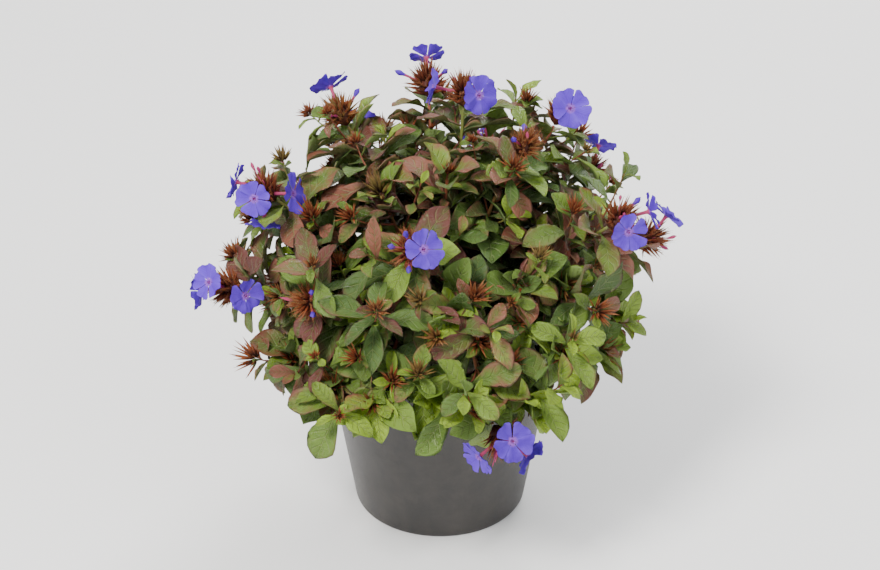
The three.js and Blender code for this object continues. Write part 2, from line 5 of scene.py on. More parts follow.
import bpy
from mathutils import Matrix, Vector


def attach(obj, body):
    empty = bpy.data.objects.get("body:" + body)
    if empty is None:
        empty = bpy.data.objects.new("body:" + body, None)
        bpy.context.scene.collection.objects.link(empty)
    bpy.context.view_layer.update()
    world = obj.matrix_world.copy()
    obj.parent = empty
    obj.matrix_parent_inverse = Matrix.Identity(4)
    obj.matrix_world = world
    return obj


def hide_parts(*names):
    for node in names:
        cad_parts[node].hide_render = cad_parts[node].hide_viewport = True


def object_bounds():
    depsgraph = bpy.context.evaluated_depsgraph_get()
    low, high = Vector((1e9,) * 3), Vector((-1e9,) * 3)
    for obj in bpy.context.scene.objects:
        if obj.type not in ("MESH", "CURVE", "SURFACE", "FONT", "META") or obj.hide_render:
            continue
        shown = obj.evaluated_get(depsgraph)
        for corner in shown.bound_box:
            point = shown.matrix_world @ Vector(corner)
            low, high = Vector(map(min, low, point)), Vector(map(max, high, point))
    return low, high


bl_info = {
    "name": "Potted Hardy Plumbago",
    "version": (1, 0, 0),
    "blender": (4, 5, 0),
    "location": "View3D > Sidebar > Plumbago",
    "description": "Dresses a potted plumbago with its leaves, stems, heads, blooms, pot and peat",
    "category": "Add Mesh",
}

import functools
import math

import bpy
import numpy as np
from mathutils import Vector

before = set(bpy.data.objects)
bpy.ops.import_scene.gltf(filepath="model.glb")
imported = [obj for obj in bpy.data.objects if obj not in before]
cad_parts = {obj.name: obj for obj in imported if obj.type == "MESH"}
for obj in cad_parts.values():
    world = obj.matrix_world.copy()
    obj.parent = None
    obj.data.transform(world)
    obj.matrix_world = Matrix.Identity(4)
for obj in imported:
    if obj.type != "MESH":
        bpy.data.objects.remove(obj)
CAD_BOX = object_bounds()

MM = 0.001
TURN = 2 * math.pi
UP = np.array([0.0, 0.0, 1.0])

# The pot's own sizes.
POT_HEIGHT = 100.0
RIM_RADIUS = 65.0
BAND_HEIGHT = 12.0
BODY_TOP_RADIUS = 60.6
BASE_RADIUS = 46.0
WALL = 1.2
DRAIN_HOLES = 8
DRAIN_RADIUS = 3.4
DRAIN_CIRCLE = 33.0
RIDGE_PITCH = 2.8
SOIL_LEVEL = 86.0
SOIL_RELIEF = 1.6
SOIL_FOOT = 4.6
GAP = 0.35

# The plant's own sizes.
ROOT_DEPTH = 12.0
STEM_FOOT_RADIUS = 1.6
STEM_TIP_RADIUS = 0.95
LEAF_LENGTH = 36.0
LEAF_WIDTH = 0.54
STALK_WIDTH = 0.06
LEAF_SPACING = 11.8
DIVERGENCE = 137.5
TUBE_LENGTH = 13.0
TUBE_ROOT = 1.6
BLOOM_RADIUS = 10.2
BLOOM_APART = math.cos(1.06)
SEED = 4.7
FULL_TURN = 6.283
GOLDEN_ANGLE = math.radians(137.508)

# A head's core and bristles, and the cosines of the angles that its bracts and buds keep from an
# open bloom. The room that leaves leave round a head is balls of a height on its axis and a radius.
CORE_RADIUS = 4.1
CORE_HEIGHT = 11.5
BRISTLES = 7
BRISTLE_RADIUS = 0.065
BRACT_CLEAR = 0.94
BUD_CLEAR = 0.85
HEAD_ROOM = ((6, 9.5), (15, 12))

# The sprigs between the shoots: their first number, how far apart their tips stand, how far out
# and how high over the rim the tips reach, and the share of sprigs that end in a young tuft.
FIRST_SPRIG = 100
SPRIG_APART = 15.5
SPRIG_REACH = 112.0
SPRIG_TOP = 132.0
TUFTED = 0.64

# Each shoot: its tip (x, y, height over the rim), its foot's distance from the middle, the height
# to which it rises before it leans out, the elevation of its end, and the bearing and elevation of
# each open flower, or None where the tip is leafy.
SHOOTS = (
    ((-84, -10, 88), 26, 50, 42, ((166, 24), (-24, 30), (-76, -2), (-130, -28))),
    ((-102, -22, 42), 38, 58, 12, ((178, 2), (-62, 4), (-112, 38))),
    ((-62, -48, 49), 30, 44, 30, ()),
    ((-14, -52, 80), 27, 50, 48, ((-38, 32),)),
    ((27, -86, 0), 40, 118, -38, ((-66, 44), (-142, -4), (-20, -30))),
    ((62, -60, 24), 38, 62, 10, None),
    ((-30, -16, 94), 14, 52, 70, None),
    ((4, -12, 104), 7, 52, 80, None),
    ((40, -4, 110), 17, 60, 62, ()),
    ((60, 38, 106), 29, 60, 56, ((-80, 40),)),
    ((12, 24, 124), 12, 70, 78, ((-60, 30), (170, 36))),
    ((-6, 58, 112), 27, 70, 64, ((100, 30),)),
    ((86, -24, 80), 30, 50, 40, ((-84, 6), (-14, 30))),
    ((103, 20, 44), 40, 58, 14, ((20, 20),)),
    ((76, 68, 58), 42, 56, 26, ((64, 30),)),
    ((24, 98, 52), 41, 56, 24, ((110, 20),)),
    ((-44, 84, 62), 37, 54, 36, ((90, 30),)),
    ((-86, 44, 56), 38, 54, 28, None),
    ((-48, 26, 112), 20, 62, 62, ((130, 30),)),
    ((-34, -84, 12), 42, 66, -12, None),
)

# Each leafy side shoot: the shoot it leaves, from where along it, its tip and its end's elevation.
SIDES = (
    (17, 0.2, (-86, 12, 12), 5),
    (1, 0.2, (-76, -38, 8), 0),
    (2, 0.22, (-54, -68, 10), 10),
    (19, 0.24, (-4, -82, 14), 0),
    (4, 0.16, (46, -72, 2), -10),
    (5, 0.2, (80, -34, 10), 5),
    (13, 0.2, (88, -2, 12), 10),
    (13, 0.26, (82, 42, 16), 10),
    (14, 0.22, (52, 78, 12), 0),
    (15, 0.2, (-10, 90, 14), 10),
    (16, 0.22, (-66, 62, 10), 5),
    (3, 0.34, (-36, -60, 44), 20),
    (7, 0.36, (6, -62, 52), 25),
    (8, 0.36, (42, -46, 58), 30),
    (9, 0.3, (70, 14, 60), 30),
    (18, 0.36, (-64, 16, 58), 25),
    (11, 0.32, (-18, 68, 54), 25),
    (10, 0.4, (38, 54, 74), 35),
    (12, 0.34, (62, -34, 50), 20),
    (16, 0.36, (-50, 58, 46), 20),
)

# How far a leaf's tip may be from a corner of its stem's node and still be the same, in millimetres.
SAME_PLACE = 0.05

# The places that a leaf tries in turn: its size, and what is added to its pitch and its turn.
TRIES = np.array([
    (size, pitch, turn)
    for size in (1, 0.86, 0.72)
    for pitch in (0, -14, 14, 26)
    for turn in (0, 18, -18, 36, -36, 54, -54)
], float)


def draw(a, b=0, c=0):
    """The same number from 0 to 1 for the same keys: the fraction of a large multiple of a sine."""
    a, b, c = (np.asarray(x, float) for x in (a, b, c))
    s = np.sin(a * 12.9898 + b * 78.233 + c * 37.719 + SEED) * 43758.5453
    return s - np.floor(s)


def unit(v):
    """A vector's direction, as a vector of length one."""
    return v / np.linalg.norm(v, axis=-1, keepdims=True)


def square_to(way, v):
    """The direction of the part of a vector that is square to a way."""
    return unit(v - way * (way @ v)[..., None])


def sweep(u, v, angle):
    """The direction at an angle between two cross directions: u * cos a + v * sin a."""
    angle = np.asarray(angle, float)[..., None]
    return u * np.cos(angle) + v * np.sin(angle)


def polar(radius, angle, z):
    """The point at a radius, an angle and a height."""
    radius, angle, z = np.broadcast_arrays(radius, angle, z)
    return np.stack([radius * np.cos(angle), radius * np.sin(angle), z], axis=-1).astype(float)


def srgb(red, green, blue):
    """A colour given as it looks on a screen, from 0 to 255, as the linear light that Blender takes."""
    c = np.array([red, green, blue]) / 255
    return tuple(np.where(c <= 0.04045, c / 12.92, ((c + 0.055) / 1.055) ** 2.4).tolist())


# The stems, their leaves and their heads, by the rule that the frame's own plant follows.

def bezier(points, t):
    """Points of a cubic Bezier curve: four points weighed by the cubic powers of t and 1 - t."""
    t = np.asarray(t, float)[..., None]
    s = 1 - t
    return s**3 * points[0] + 3 * s * s * t * points[1] + 3 * s * t * t * points[2] + t**3 * points[3]


class Shoot:
    """A stem, side shoot or sprig: its number, the stem that carries it, its curve and the places
    of its leaves along it."""

    def __init__(self, number, stem, points, side, blooms=None):
        self.number = number
        self.stem = stem
        self.points = points
        self.side = side
        self.blooms = blooms
        self.vigour = 1.0
        self.tufted = blooms is None
        self.places = np.zeros(0)

    def place_leaves(self, low, crown):
        """Four leaves close under the tip, the others evenly down to low."""
        reach = np.linalg.norm(self.at(1.0) - self.at(low))
        count = math.floor(reach / LEAF_SPACING + 0.5) + 3
        rank = np.arange(count)
        high = 0.962 - 4 * crown
        below = high - (high - low) * ((rank - 4) / (count - 4))
        self.places = np.where(rank < 4, 0.975 - crown * rank, below)
        return self

    @property
    def level(self):
        """0 for a stem, 1 for a side shoot and 2 for a sprig."""
        return (self.number >= len(SHOOTS)) + (self.number >= FIRST_SPRIG)

    def at(self, t):
        """The point at t."""
        return bezier(self.points, t)

    def frame(self, t):
        """The point, tangent and two cross directions at t."""
        t = np.asarray(t, float)
        along = unit(self.at(np.minimum(t + 1e-4, 1)) - self.at(np.maximum(t - 1e-4, 0)))
        u = square_to(along, self.side)
        return self.at(t), along, u, np.cross(along, u)


def aimed(start, tip, aim, share):
    """A shoot's end, the level ways out to it and across, the length of its handles as a share of
    its reach, and the last handle's point, for an end that rises by the aim in degrees."""
    end = np.array([tip[0], tip[1], POT_HEIGHT + tip[2]], float)
    out = unit((end - start) * (1, 1, 0))
    handle = share * np.linalg.norm(end - start)
    lean = math.radians(aim)
    last = end - out * handle * math.cos(lean) - UP * handle * math.sin(lean)
    return end, out, np.array([-out[1], out[0], 0]), handle, last


def grow_shoots():
    """All shoots: the stems out of the peat, then the side shoots."""
    shoots = []
    for i, (tip, foot, rise, aim, blooms) in enumerate(SHOOTS):
        start = polar(foot, math.atan2(tip[1], tip[0]), SOIL_LEVEL - ROOT_DEPTH)
        end, out, side, _, last = aimed(start, tip, aim, 0.36)
        first = start + side * 12 * (draw(i, 1) - 0.5) + out * 3
        first[2] = POT_HEIGHT + rise
        last = last + side * 16 * (draw(i, 2) - 0.5)
        shoot = Shoot(i, i, np.array([start, first, last, end]), side, blooms)
        shoots.append(shoot.place_leaves(0.5 if foot < 30 else 0.4, 0.02))
    for j, (stem, share, tip, aim) in enumerate(SIDES):
        start = shoots[stem].at(share)
        end, out, side, handle, last = aimed(start, tip, aim, 0.38)
        first = start + out * handle + UP * 0.5 * handle
        shoot = Shoot(len(SHOOTS) + j, stem, np.array([start, first, last, end]), side)
        shoots.append(shoot.place_leaves(0.35, 0.045))
    return shoots


def grow_sprigs(shoots, heads):
    """Short sprigs between the shoots, which close the plant's surface. Each shoot tries one about
    every 9 mm, each turned on by the leaves' own angle, and one is kept where its tip stands apart
    from the other tips, the heads and the blooms, and over the pot's rim."""
    tips = [shoot.at(1.0) for shoot in shoots]
    sprigs = []
    for shoot in shoots:
        i = shoot.number
        tries = int(np.linalg.norm(shoot.at(1.0) - shoot.at(0.3)) / 9)
        for j in range(tries):
            at, along, u, v = shoot.frame(0.92 - 0.58 * j / tries)
            out = sweep(u, v, math.radians(DIVERGENCE * j + 360 * draw(i, 120)))
            way = unit(along * 0.55 + out + outward(at) * 0.7 + UP * 0.25)
            length = 16 + 20 * draw(i, j, 121)
            tip = at + way * length + UP * 0.18 * length
            inside = math.hypot(tip[0], tip[1]) < SPRIG_REACH
            inside = inside and POT_HEIGHT + 4 < tip[2] < POT_HEIGHT + SPRIG_TOP
            apart = min(np.linalg.norm(tip - other) for other in tips)
            probe = {"at": at, "dir": unit(tip - at), "length": 1.15 * length}
            if not inside or apart < SPRIG_APART or hits_head(probe, heads):
                continue
            tips.append(tip)
            first, last = at + way * 0.35 * length, tip - unit(way + UP * 0.5) * 0.35 * length
            side = unit(np.cross(way, UP + 0.3 * u))
            number = FIRST_SPRIG + len(sprigs)
            sprig = Shoot(number, shoot.stem, np.array([at, first, last, tip]), side)
            sprig.vigour = 0.78 + 0.62 * draw(i, j, 122)
            sprig.tufted = draw(number, 116) < TUFTED
            count = 4 + int(length / 7)
            sprig.places = 0.97 - 0.8 * (np.arange(count) / count) ** 1.25
            sprigs.append(sprig)
    return sprigs


def outward(at):
    """The level direction away from the pot's axis, shorter near the axis."""
    return np.array([at[0], at[1], 0]) / max(40, math.hypot(at[0], at[1]))


def leaf_frames(shoot, k, size, pitch, turn):
    """How a shoot's leaf of rank k stands and is shaped, for each of several choices. The first
    five of a leafy tip are young and close, and the first four under a head crown it."""
    i = shoot.number
    at, along, u, v = shoot.frame(shoot.places[k])
    grown = 0.86 + 0.05 * min(k - 3, 4)
    base = 60 + 16 * draw(i, k, 5)
    if shoot.blooms is None and k < 5:
        grown = 0.62 + 0.07 * k
        base = 24 + 9 * k
    if shoot.blooms is not None and k < 4:
        grown = 0.78
        base = 70 + 10 * draw(i, k, 5)
    turned = np.radians(360 * draw(i, 3) + DIVERGENCE * k + 24 * (draw(i, k, 4) - 0.5) + turn)
    leaning = np.radians(base + pitch)[:, None]
    way = along * np.cos(leaning) + sweep(u, v, turned) * np.sin(leaning)
    way = unit(way + outward(at) * 0.3 + UP * 0.12)
    face = along * 0.45 + UP * 0.8 + outward(at) * 0.35
    face = face + u * 0.3 * (draw(i, k, 6) - 0.5) + v * 0.3 * (draw(i, k, 7) - 0.5)
    length = LEAF_LENGTH * grown * (0.88 + 0.24 * draw(i, k, 8)) * size
    return {
        "at": np.broadcast_to(at, way.shape),
        "dir": way,
        "normal": square_to(way, face),
        "length": length,
        "half": 0.5 * LEAF_WIDTH * length * (0.9 + 0.2 * draw(i, k, 9)),
        "bend": np.full(len(size), np.radians(18 + 40 * draw(i, k, 10))),
        "fold": np.full(len(size), np.radians(14 + 16 * draw(i, k, 11))),
        "wave": np.full(len(size), 1.1 + 0.9 * draw(i, k, 12)),
        "phase": np.full(len(size), FULL_TURN * draw(i, k, 13)),
    }


def leaf_tips(leaf):
    """The tips of arched leaves: the end of an arc of the leaf's length, bent back from its normal."""
    arc = (leaf["length"] / leaf["bend"])[:, None]
    bend = leaf["bend"][:, None]
    return leaf["at"] + leaf["dir"] * arc * np.sin(bend) - leaf["normal"] * arc * (1 - np.cos(bend))


def node_points(name):
    """The corners of a CAD node, in millimetres."""
    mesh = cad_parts[name].data
    co = np.empty(3 * len(mesh.vertices), np.float32)
    mesh.vertices.foreach_get("co", co)
    return co.reshape(-1, 3).astype(float) / MM


def standing_leaves(shoots):
    """The leaves that stand in the frame's plant. Of the places that a leaf tries, the one it took
    is the one whose tip is a corner of its stem's node, and a leaf that took none is left out."""
    corners = {i: node_points(f"leafy_stem_{i + 1:02d}") for i in range(len(SHOOTS))}
    leaves = []
    for shoot in shoots:
        for k in range(len(shoot.places)):
            choices = leaf_frames(shoot, k, *TRIES.T)
            tips = leaf_tips(choices)
            near = np.linalg.norm(corners[shoot.stem][None] - tips[:, None], axis=-1).min(axis=1)
            best = int(np.argmin(near))
            if near[best] > SAME_PLACE:
                continue
            leaf = {name: value[best] for name, value in choices.items()}
            leaf.update(stem=shoot.stem, shoot=shoot.number, rank=k)
            leaves.append(leaf)
    return leaves


def head_facets(size):
    """Middles and normals of the facets over a head's core: rings of six points and a top."""
    rings = ((3.2, 2, 0), (4.9, 6.2, 0.5), (3.5, 10.2, 0))
    steps = np.arange(6)
    points = [polar(r * size, np.radians(60 * (steps + turn)), z * size) for r, z, turn in rings]
    points = np.concatenate(points + [np.array([[0, 0, 12.4 * size]])])
    faces = []
    for j in range(6):
        a, b, c = j, (j + 1) % 6, (j + 2) % 6
        faces += [(a, b, 6 + a), (b, 6 + b, 6 + a), (6 + a, 6 + b, 12 + b), (6 + b, 12 + c, 12 + b)]
        faces += [(12 + a, 12 + b, 18)]
    corner = points[np.array(faces)]
    normal = unit(np.cross(corner[:, 1] - corner[:, 0], corner[:, 2] - corner[:, 0]))
    return corner.mean(axis=1), normal


def upright_to(way):
    """The matrix of the shortest turn that takes up to a direction."""
    way = Vector([float(x) for x in way])
    return np.array(Vector((0, 0, 1)).rotation_difference(way).to_matrix())


def spin_about_up(angle):
    """The matrix of a turn about the upright axis."""
    c, s = math.cos(angle), math.sin(angle)
    return np.array([[c, -s, 0], [s, c, 0], [0, 0, 1]])


def standing_heads(shoots):
    """Each head's place and turn on its stem's end, and those of the blooms open on it."""
    heads = []
    for shoot in shoots[: len(SHOOTS)]:
        if shoot.blooms is None:
            continue
        i = shoot.number
        size = 0.9 + 0.2 * draw(i, 15) + 0.04 * len(shoot.blooms)
        at, along, _, _ = shoot.frame(1.0)
        turn = upright_to(along)
        middles, normals = head_facets(size)
        head = {"number": i, "size": size, "at": at + along * GAP, "turn": turn, "open": []}
        taken = []
        for b, (bearing, elevation) in enumerate(shoot.blooms):
            lift = math.radians(elevation)
            want = polar(math.cos(lift), math.radians(bearing), math.sin(lift)) @ turn
            free = [all(normal @ other < BLOOM_APART for other in taken) for normal in normals]
            face = int(np.argmax(np.where(free, normals @ want, -1)))
            normal = normals[face]
            taken.append(normal)
            own = upright_to(normal) @ spin_about_up(FULL_TURN * draw(face, b, 31))
            foot = middles[face] - normal * TUBE_ROOT
            head["open"].append({"at": head["at"] + turn @ foot, "turn": turn @ own})
        head["taken"] = taken
        heads.append(head)
    return heads


# Closed bodies as arrays, and the piece that gathers them.

def around(sides):
    """The angles of the corners of a ring."""
    return TURN * np.arange(sides) / sides


def lathe(profile, sides):
    """A profile of radii and heights turned round the upright axis, as the rings of one body."""
    return polar(profile[:, :1], around(sides), profile[:, 1:])[None]


def on_axis(height):
    """The end of a turned body, on its axis."""
    return np.array([[0.0, 0.0, height]])


def wrap(sides, rows):
    """Texture coordinates of a body: the share round it, and the share along it."""
    return {"u": np.arange(sides) / sides, "v": np.linspace(0, 1, rows)[:, None]}


def loft(rings, foot, tip):
    """Closed bodies, each a stack of rings with one point under and one over it, as points, quads
    and triangles that face outward. rings is (bodies, rows, sides, 3)."""
    count, rows, sides, _ = rings.shape
    each = rows * sides + 2
    points = np.concatenate([foot[:, None], rings.reshape(count, -1, 3), tip[:, None]], axis=1)
    ring = 1 + np.arange(rows * sides).reshape(rows, sides)
    turned = np.roll(ring, -1, axis=1)
    quads = np.stack([ring[:-1], turned[:-1], turned[1:], ring[1:]], axis=-1).reshape(-1, 4)
    low = np.stack([np.zeros(sides, int), turned[0], ring[0]], axis=-1)
    high = np.stack([np.full(sides, each - 1), ring[-1], turned[-1]], axis=-1)
    tris = np.concatenate([low, high])
    halves = np.concatenate([quads[:, :3], quads[:, [0, 2, 3]], tris])
    a, b, c = np.moveaxis((points[0] - points[0].mean(axis=0))[halves], 1, 0)
    if np.einsum("ij,ij->", a, np.cross(b, c)) < 0:
        quads, tris = quads[:, ::-1], tris[:, ::-1]
    shift = each * np.arange(count)[:, None, None]
    return points.reshape(-1, 3), (quads + shift).reshape(-1, 4), (tris + shift).reshape(-1, 3)


class Piece:
    """Gathers closed bodies with their UVs and values, and makes one mesh object of them."""

    def __init__(self, name):
        self.name = name
        self.points = []
        self.quads = []
        self.tris = []
        self.values = {}
        self.count = 0

    def add(self, rings, foot=None, tip=None, seat=None, **values):
        """Adds lofted bodies, moved to their seat where they have one: a turn and a place. Each
        value is spread over the rings, and an end has its ring's mean."""
        foot = rings[:, 0].mean(axis=1) if foot is None else foot
        tip = rings[:, -1].mean(axis=1) if tip is None else tip
        points, quads, tris = loft(rings, foot, tip)
        if seat:
            points = points @ seat[0].T + seat[1]
        self.points.append(points)
        self.quads.append(quads + self.count)
        self.tris.append(tris + self.count)
        self.count += len(points)
        for name, value in values.items():
            full = np.broadcast_to(value, rings.shape[:3]).astype(float)
            low, high = (full[:, row].mean(axis=1)[:, None] for row in (0, -1))
            spread = np.concatenate([low, full.reshape(len(rings), -1), high], axis=1)
            self.values.setdefault(name, []).append(spread.ravel())
        return self

    def make(self, material, slot, *nodes, smooth=True):
        """Makes the object, rides it on the root body and hides the CAD parts of the nodes."""
        points = np.concatenate(self.points) * MM
        quads = np.concatenate(self.quads)
        tris = np.concatenate(self.tris)
        corners = np.concatenate([quads.ravel(), tris.ravel()]).astype(np.int32)
        starts = np.concatenate([4 * np.arange(len(quads)), 4 * len(quads) + 3 * np.arange(len(tris))])
        mesh = bpy.data.meshes.new(self.name)
        mesh.vertices.add(len(points))
        mesh.vertices.foreach_set("co", points.astype(np.float32).ravel())
        mesh.loops.add(len(corners))
        mesh.loops.foreach_set("vertex_index", corners)
        mesh.polygons.add(len(starts))
        mesh.polygons.foreach_set("loop_start", starts.astype(np.int32))
        mesh.polygons.foreach_set("use_smooth", np.full(len(starts), smooth))
        values = {name: np.concatenate(parts).astype(np.float32) for name, parts in self.values.items()}
        if "u" in values:
            layer = mesh.uv_layers.new(name="UVMap")
            pairs = np.stack([values.pop("u"), values.pop("v")], axis=-1)
            layer.data.foreach_set("uv", pairs[corners].ravel())
        for name, value in values.items():
            mesh.attributes.new(name, "FLOAT", "POINT").data.foreach_set("value", value)
        mesh.update(calc_edges=True)
        mesh.validate()
        piece = bpy.data.objects.new(self.name, mesh)
        bpy.context.scene.collection.objects.link(piece)
        piece.data.materials.append(material)
        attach(piece, "root")
        if nodes:
            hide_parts(*nodes)
        return piece


def cross_frames(way):
    """Two cross directions for each direction."""
    helper = np.where(np.abs(way[..., 2:]) < 0.9, UP, np.array([1.0, 0, 0]))
    u = unit(np.cross(helper, way))
    return u, np.cross(way, u)


def tubes(paths, cross, radii, sides):
    """Sections carried along paths: centre + radius * (cos a * u + sin a * v). paths is (bodies,
    rows, 3), cross holds u and v, and radii is (bodies, rows) or (bodies, rows, sides)."""
    u, v = (way[:, :, None] for way in cross)
    radii = radii.reshape(*radii.shape[:2], -1, 1)
    return paths[:, :, None] + radii * sweep(u, v, around(sides))


def blades(leaf, rows, sides, thickness):
    """Leaf blades as flattened rings round a middle surface of two parameters. Along t the rib is
    an arc, and the half width is half * sin(pi t^broad)^blunt over a narrow stalk, with a ripple
    of its own at either margin. Across c, from -1 to 1, the blade folds up along its rib as
    |c|^1.15, waves at its margin as |c|^1.8 * sin and ruffles as |c|^2.5 * sin, and it rolls about
    its rib with t. The ring's angle a gives c = cos a, and sin a parts the upper face from the
    lower one."""
    wide = {name: np.asarray(value, float) for name, value in leaf.items()}
    per = {name: value[:, None, None] for name, value in wide.items() if value.ndim == 1}
    at, way, normal = (wide[name][:, None, None] for name in ("at", "dir", "normal"))
    side = np.cross(way, normal)
    t = (1 - (1 - np.linspace(0, 1, rows + 1)[:-1]) ** 1.1)[None, :, None]
    c, s = np.cos(around(sides)), np.sin(around(sides))
    share = np.sin(math.pi * t ** per["broad"]) ** per["blunt"]
    share = share * (1 - STALK_WIDTH) + STALK_WIDTH * (1 - t)
    ripple = 1 + per["ripple"] * np.sin(2.3 * per["phase"] + 10.5 * t + 1.7 * c)
    width = per["half"] * share * ripple
    edge = np.abs(c)
    lift = width * np.sin(per["fold"]) * edge**1.15
    lift = lift + share * per["wave"] * np.sin(per["phase"] + c + 7 * t) * edge**1.8
    lift = lift + share * per["ruffle"] * np.sin(1.7 * per["phase"] + 3 * c + 17 * t) * edge**2.5
    stalk = (1 - t) ** 4
    body = thickness * (0.35 + 0.65 * (1 - edge**2)) * (1 + 1.6 * stalk)
    lift = lift + body * s
    roll = per["roll"] * t
    across = width * c * np.cos(per["fold"] * edge)
    across, lift = (
        across * np.cos(roll) - lift * np.sin(roll),
        across * np.sin(roll) + lift * np.cos(roll),
    )
    bent = per["bend"] * t
    arc = per["length"] / per["bend"]
    forward = arc * np.sin(bent) + lift * np.sin(bent)
    rise = -arc * (1 - np.cos(bent)) + lift * np.cos(bent)
    rings = at + way * forward[..., None] + normal * rise[..., None] + side * across[..., None]
    return rings, leaf_tips(wide), {"u": 0.5 + 0.5 * c, "v": t, "Under": np.clip(-3 * s, 0, 1)}


# Shader trees. A wire is a value in a tree, so a formula reads as a sum of wires, and the shared
# effects are node groups that put out values only.

class Wire:
    """An output socket. Its signs and methods add the nodes that work out the new value."""

    def __init__(self, socket):
        self.socket = socket
        self.tree = socket.id_data

    def math(self, operation, *others, clamp=False):
        """A Math node that takes this wire and the others in order."""
        inputs = dict(enumerate((self, *others)))
        return add_node(self.tree, "ShaderNodeMath", inputs, operation=operation, use_clamp=clamp)

    def __add__(self, other):
        return self.math("ADD", other)

    def __sub__(self, other):
        return self.math("SUBTRACT", other)

    def __rsub__(self, other):
        return self.math("MULTIPLY_ADD", -1.0, other)

    def __mul__(self, other):
        return self.math("MULTIPLY", other)

    def __pow__(self, power):
        return self.math("POWER", power)

    def __abs__(self):
        return self.math("ABSOLUTE")

    def most(self, other):
        """The larger of two values."""
        return self.math("MAXIMUM", other)

    def ramp(self, low, high, new_low=0.0, new_high=1.0):
        """The value taken smoothly from one range to another, and clamped."""
        inputs = {"Value": self, "From Min": low, "From Max": high, "To Min": new_low, "To Max": new_high}
        return add_node(self.tree, "ShaderNodeMapRange", inputs, interpolation_type="SMOOTHSTEP")


def add_node(tree, kind, inputs=None, out=0, **settings):
    """Adds a node with its settings, and its inputs set to plain values or linked from wires. Gives
    the wire of one output, or the node itself where out is None."""
    node = tree.nodes.new(kind)
    for name, value in settings.items():
        setattr(node, name, value)
    for key, value in (inputs or {}).items():
        if isinstance(value, Wire):
            tree.links.new(value.socket, node.inputs[key])
        else:
            node.inputs[key].default_value = value
    return node if out is None else Wire(node.outputs[out])


def mix(share, first, second):
    """Two colours mixed: first * (1 - share) + second * share. At least one of the three is a wire."""
    tree = next(value.tree for value in (share, first, second) if isinstance(value, Wire))
    inputs = {0: share}
    for key, colour in ((6, first), (7, second)):
        inputs[key] = colour if isinstance(colour, Wire) else (*colour, 1)
    return add_node(tree, "ShaderNodeMix", inputs, 2, data_type="RGBA")


def new_group(name, outputs, **inputs):
    """A node group with its sockets, and the wires of its inputs. An input without a default is a
    vector, and all other sockets are numbers."""
    tree = bpy.data.node_groups.new(name, "ShaderNodeTree")
    for label, value in inputs.items():
        kind = "NodeSocketVector" if value is None else "NodeSocketFloat"
        socket = tree.interface.new_socket(label, in_out="INPUT", socket_type=kind)
        if value is not None:
            socket.default_value = value
    for label in outputs:
        tree.interface.new_socket(label, in_out="OUTPUT", socket_type="NodeSocketFloat")
    given = tree.nodes.new("NodeGroupInput")
    return tree, [Wire(given.outputs[k]) for k in range(len(inputs))]


def put_out(tree, *values):
    """Ends a node group with its values, in the order of its outputs."""
    add_node(tree, "NodeGroupOutput", dict(enumerate(values)), None)
    return tree


def build_mottle():
    """Patches and specks: two noises of different grain, mixed, and spread over 0 to 1."""
    tree, (vector, scale, specks, contrast) = new_group(
        "Mottle", ["Value"], Vector=None, Scale=80.0, Specks=0.3, Contrast=0.3
    )
    broad = add_node(tree, "ShaderNodeTexNoise", {"Vector": vector, "Scale": scale, "Detail": 3.0})
    small = add_node(tree, "ShaderNodeTexNoise", {"Vector": vector, "Scale": scale * 9.0, "Detail": 2.0})
    both = add_node(tree, "ShaderNodeMix", {0: specks, 2: broad, 3: small})
    return put_out(tree, both.ramp(0.5 - contrast, contrast + 0.5))


def build_veins():
    """Veins that leave a rib and run forward: lines where count * (along - slant * off) is whole,
    with off the distance from the rib, fading towards the margin, and the rib itself."""
    tree, (across, along, count, slant, width, rib) = new_group(
        "Veins", ["Veins", "Rib"], Across=0.0, Along=0.0, Count=7.0, Slant=0.22, Width=0.16, Rib=0.07
    )
    off = abs(across * 2.0 - 1.0)
    phase = ((along - off * slant) * count).math("FRACT")
    line = abs(phase - 0.5).ramp(width, 0.0)
    narrow = rib * (1.25 - along)
    return put_out(tree, line * off.ramp(0.95, 0.3), off.ramp(narrow, 0.0))


def build_dust():
    """Dust that lies on what faces up, broken up by a noise."""
    tree, (vector, amount, scale) = new_group("Dust", ["Mask"], Vector=None, Amount=0.5, Scale=90.0)
    normal = add_node(tree, "ShaderNodeNewGeometry", out="Normal")
    height = add_node(tree, "ShaderNodeSeparateXYZ", {0: normal}, 2)
    grain = {"Vector": vector, "Scale": scale, "Detail": 5.0, "Roughness": 0.65}
    noise = add_node(tree, "ShaderNodeTexNoise", grain)
    return put_out(tree, height.ramp(-0.1, 0.9, 0.25, 1.0) * noise.ramp(0.4, 0.65) * amount)


EFFECTS = {"Mottle": build_mottle, "Veins": build_veins, "Dust": build_dust}


def effect(name, **inputs):
    """A shared effect placed in its inputs' tree, and built the first time that it is asked for."""
    tree = next(value.tree for value in inputs.values() if isinstance(value, Wire))
    group = bpy.data.node_groups.get(name) or EFFECTS[name]()
    node = add_node(tree, "ShaderNodeGroup", inputs, None, node_tree=group)
    return [Wire(socket) for socket in node.outputs]


def mottle(place, scale, specks, contrast):
    """Patches of a scale, with a share of specks in them."""
    return effect("Mottle", Vector=place, Scale=scale, Specks=specks, Contrast=contrast)[0]


def attributes(place, *names):
    """The wires of the mesh's own values."""
    return [add_node(place.tree, "ShaderNodeAttribute", None, "Fac", attribute_name=name) for name in names]


def across_along(place):
    """The two texture coordinates: the share round or across a body, and the share along it."""
    uv = add_node(place.tree, "ShaderNodeUVMap", uv_map="UVMap")
    parts = add_node(place.tree, "ShaderNodeSeparateXYZ", {0: uv}, None)
    return [Wire(socket) for socket in parts.outputs[:2]]


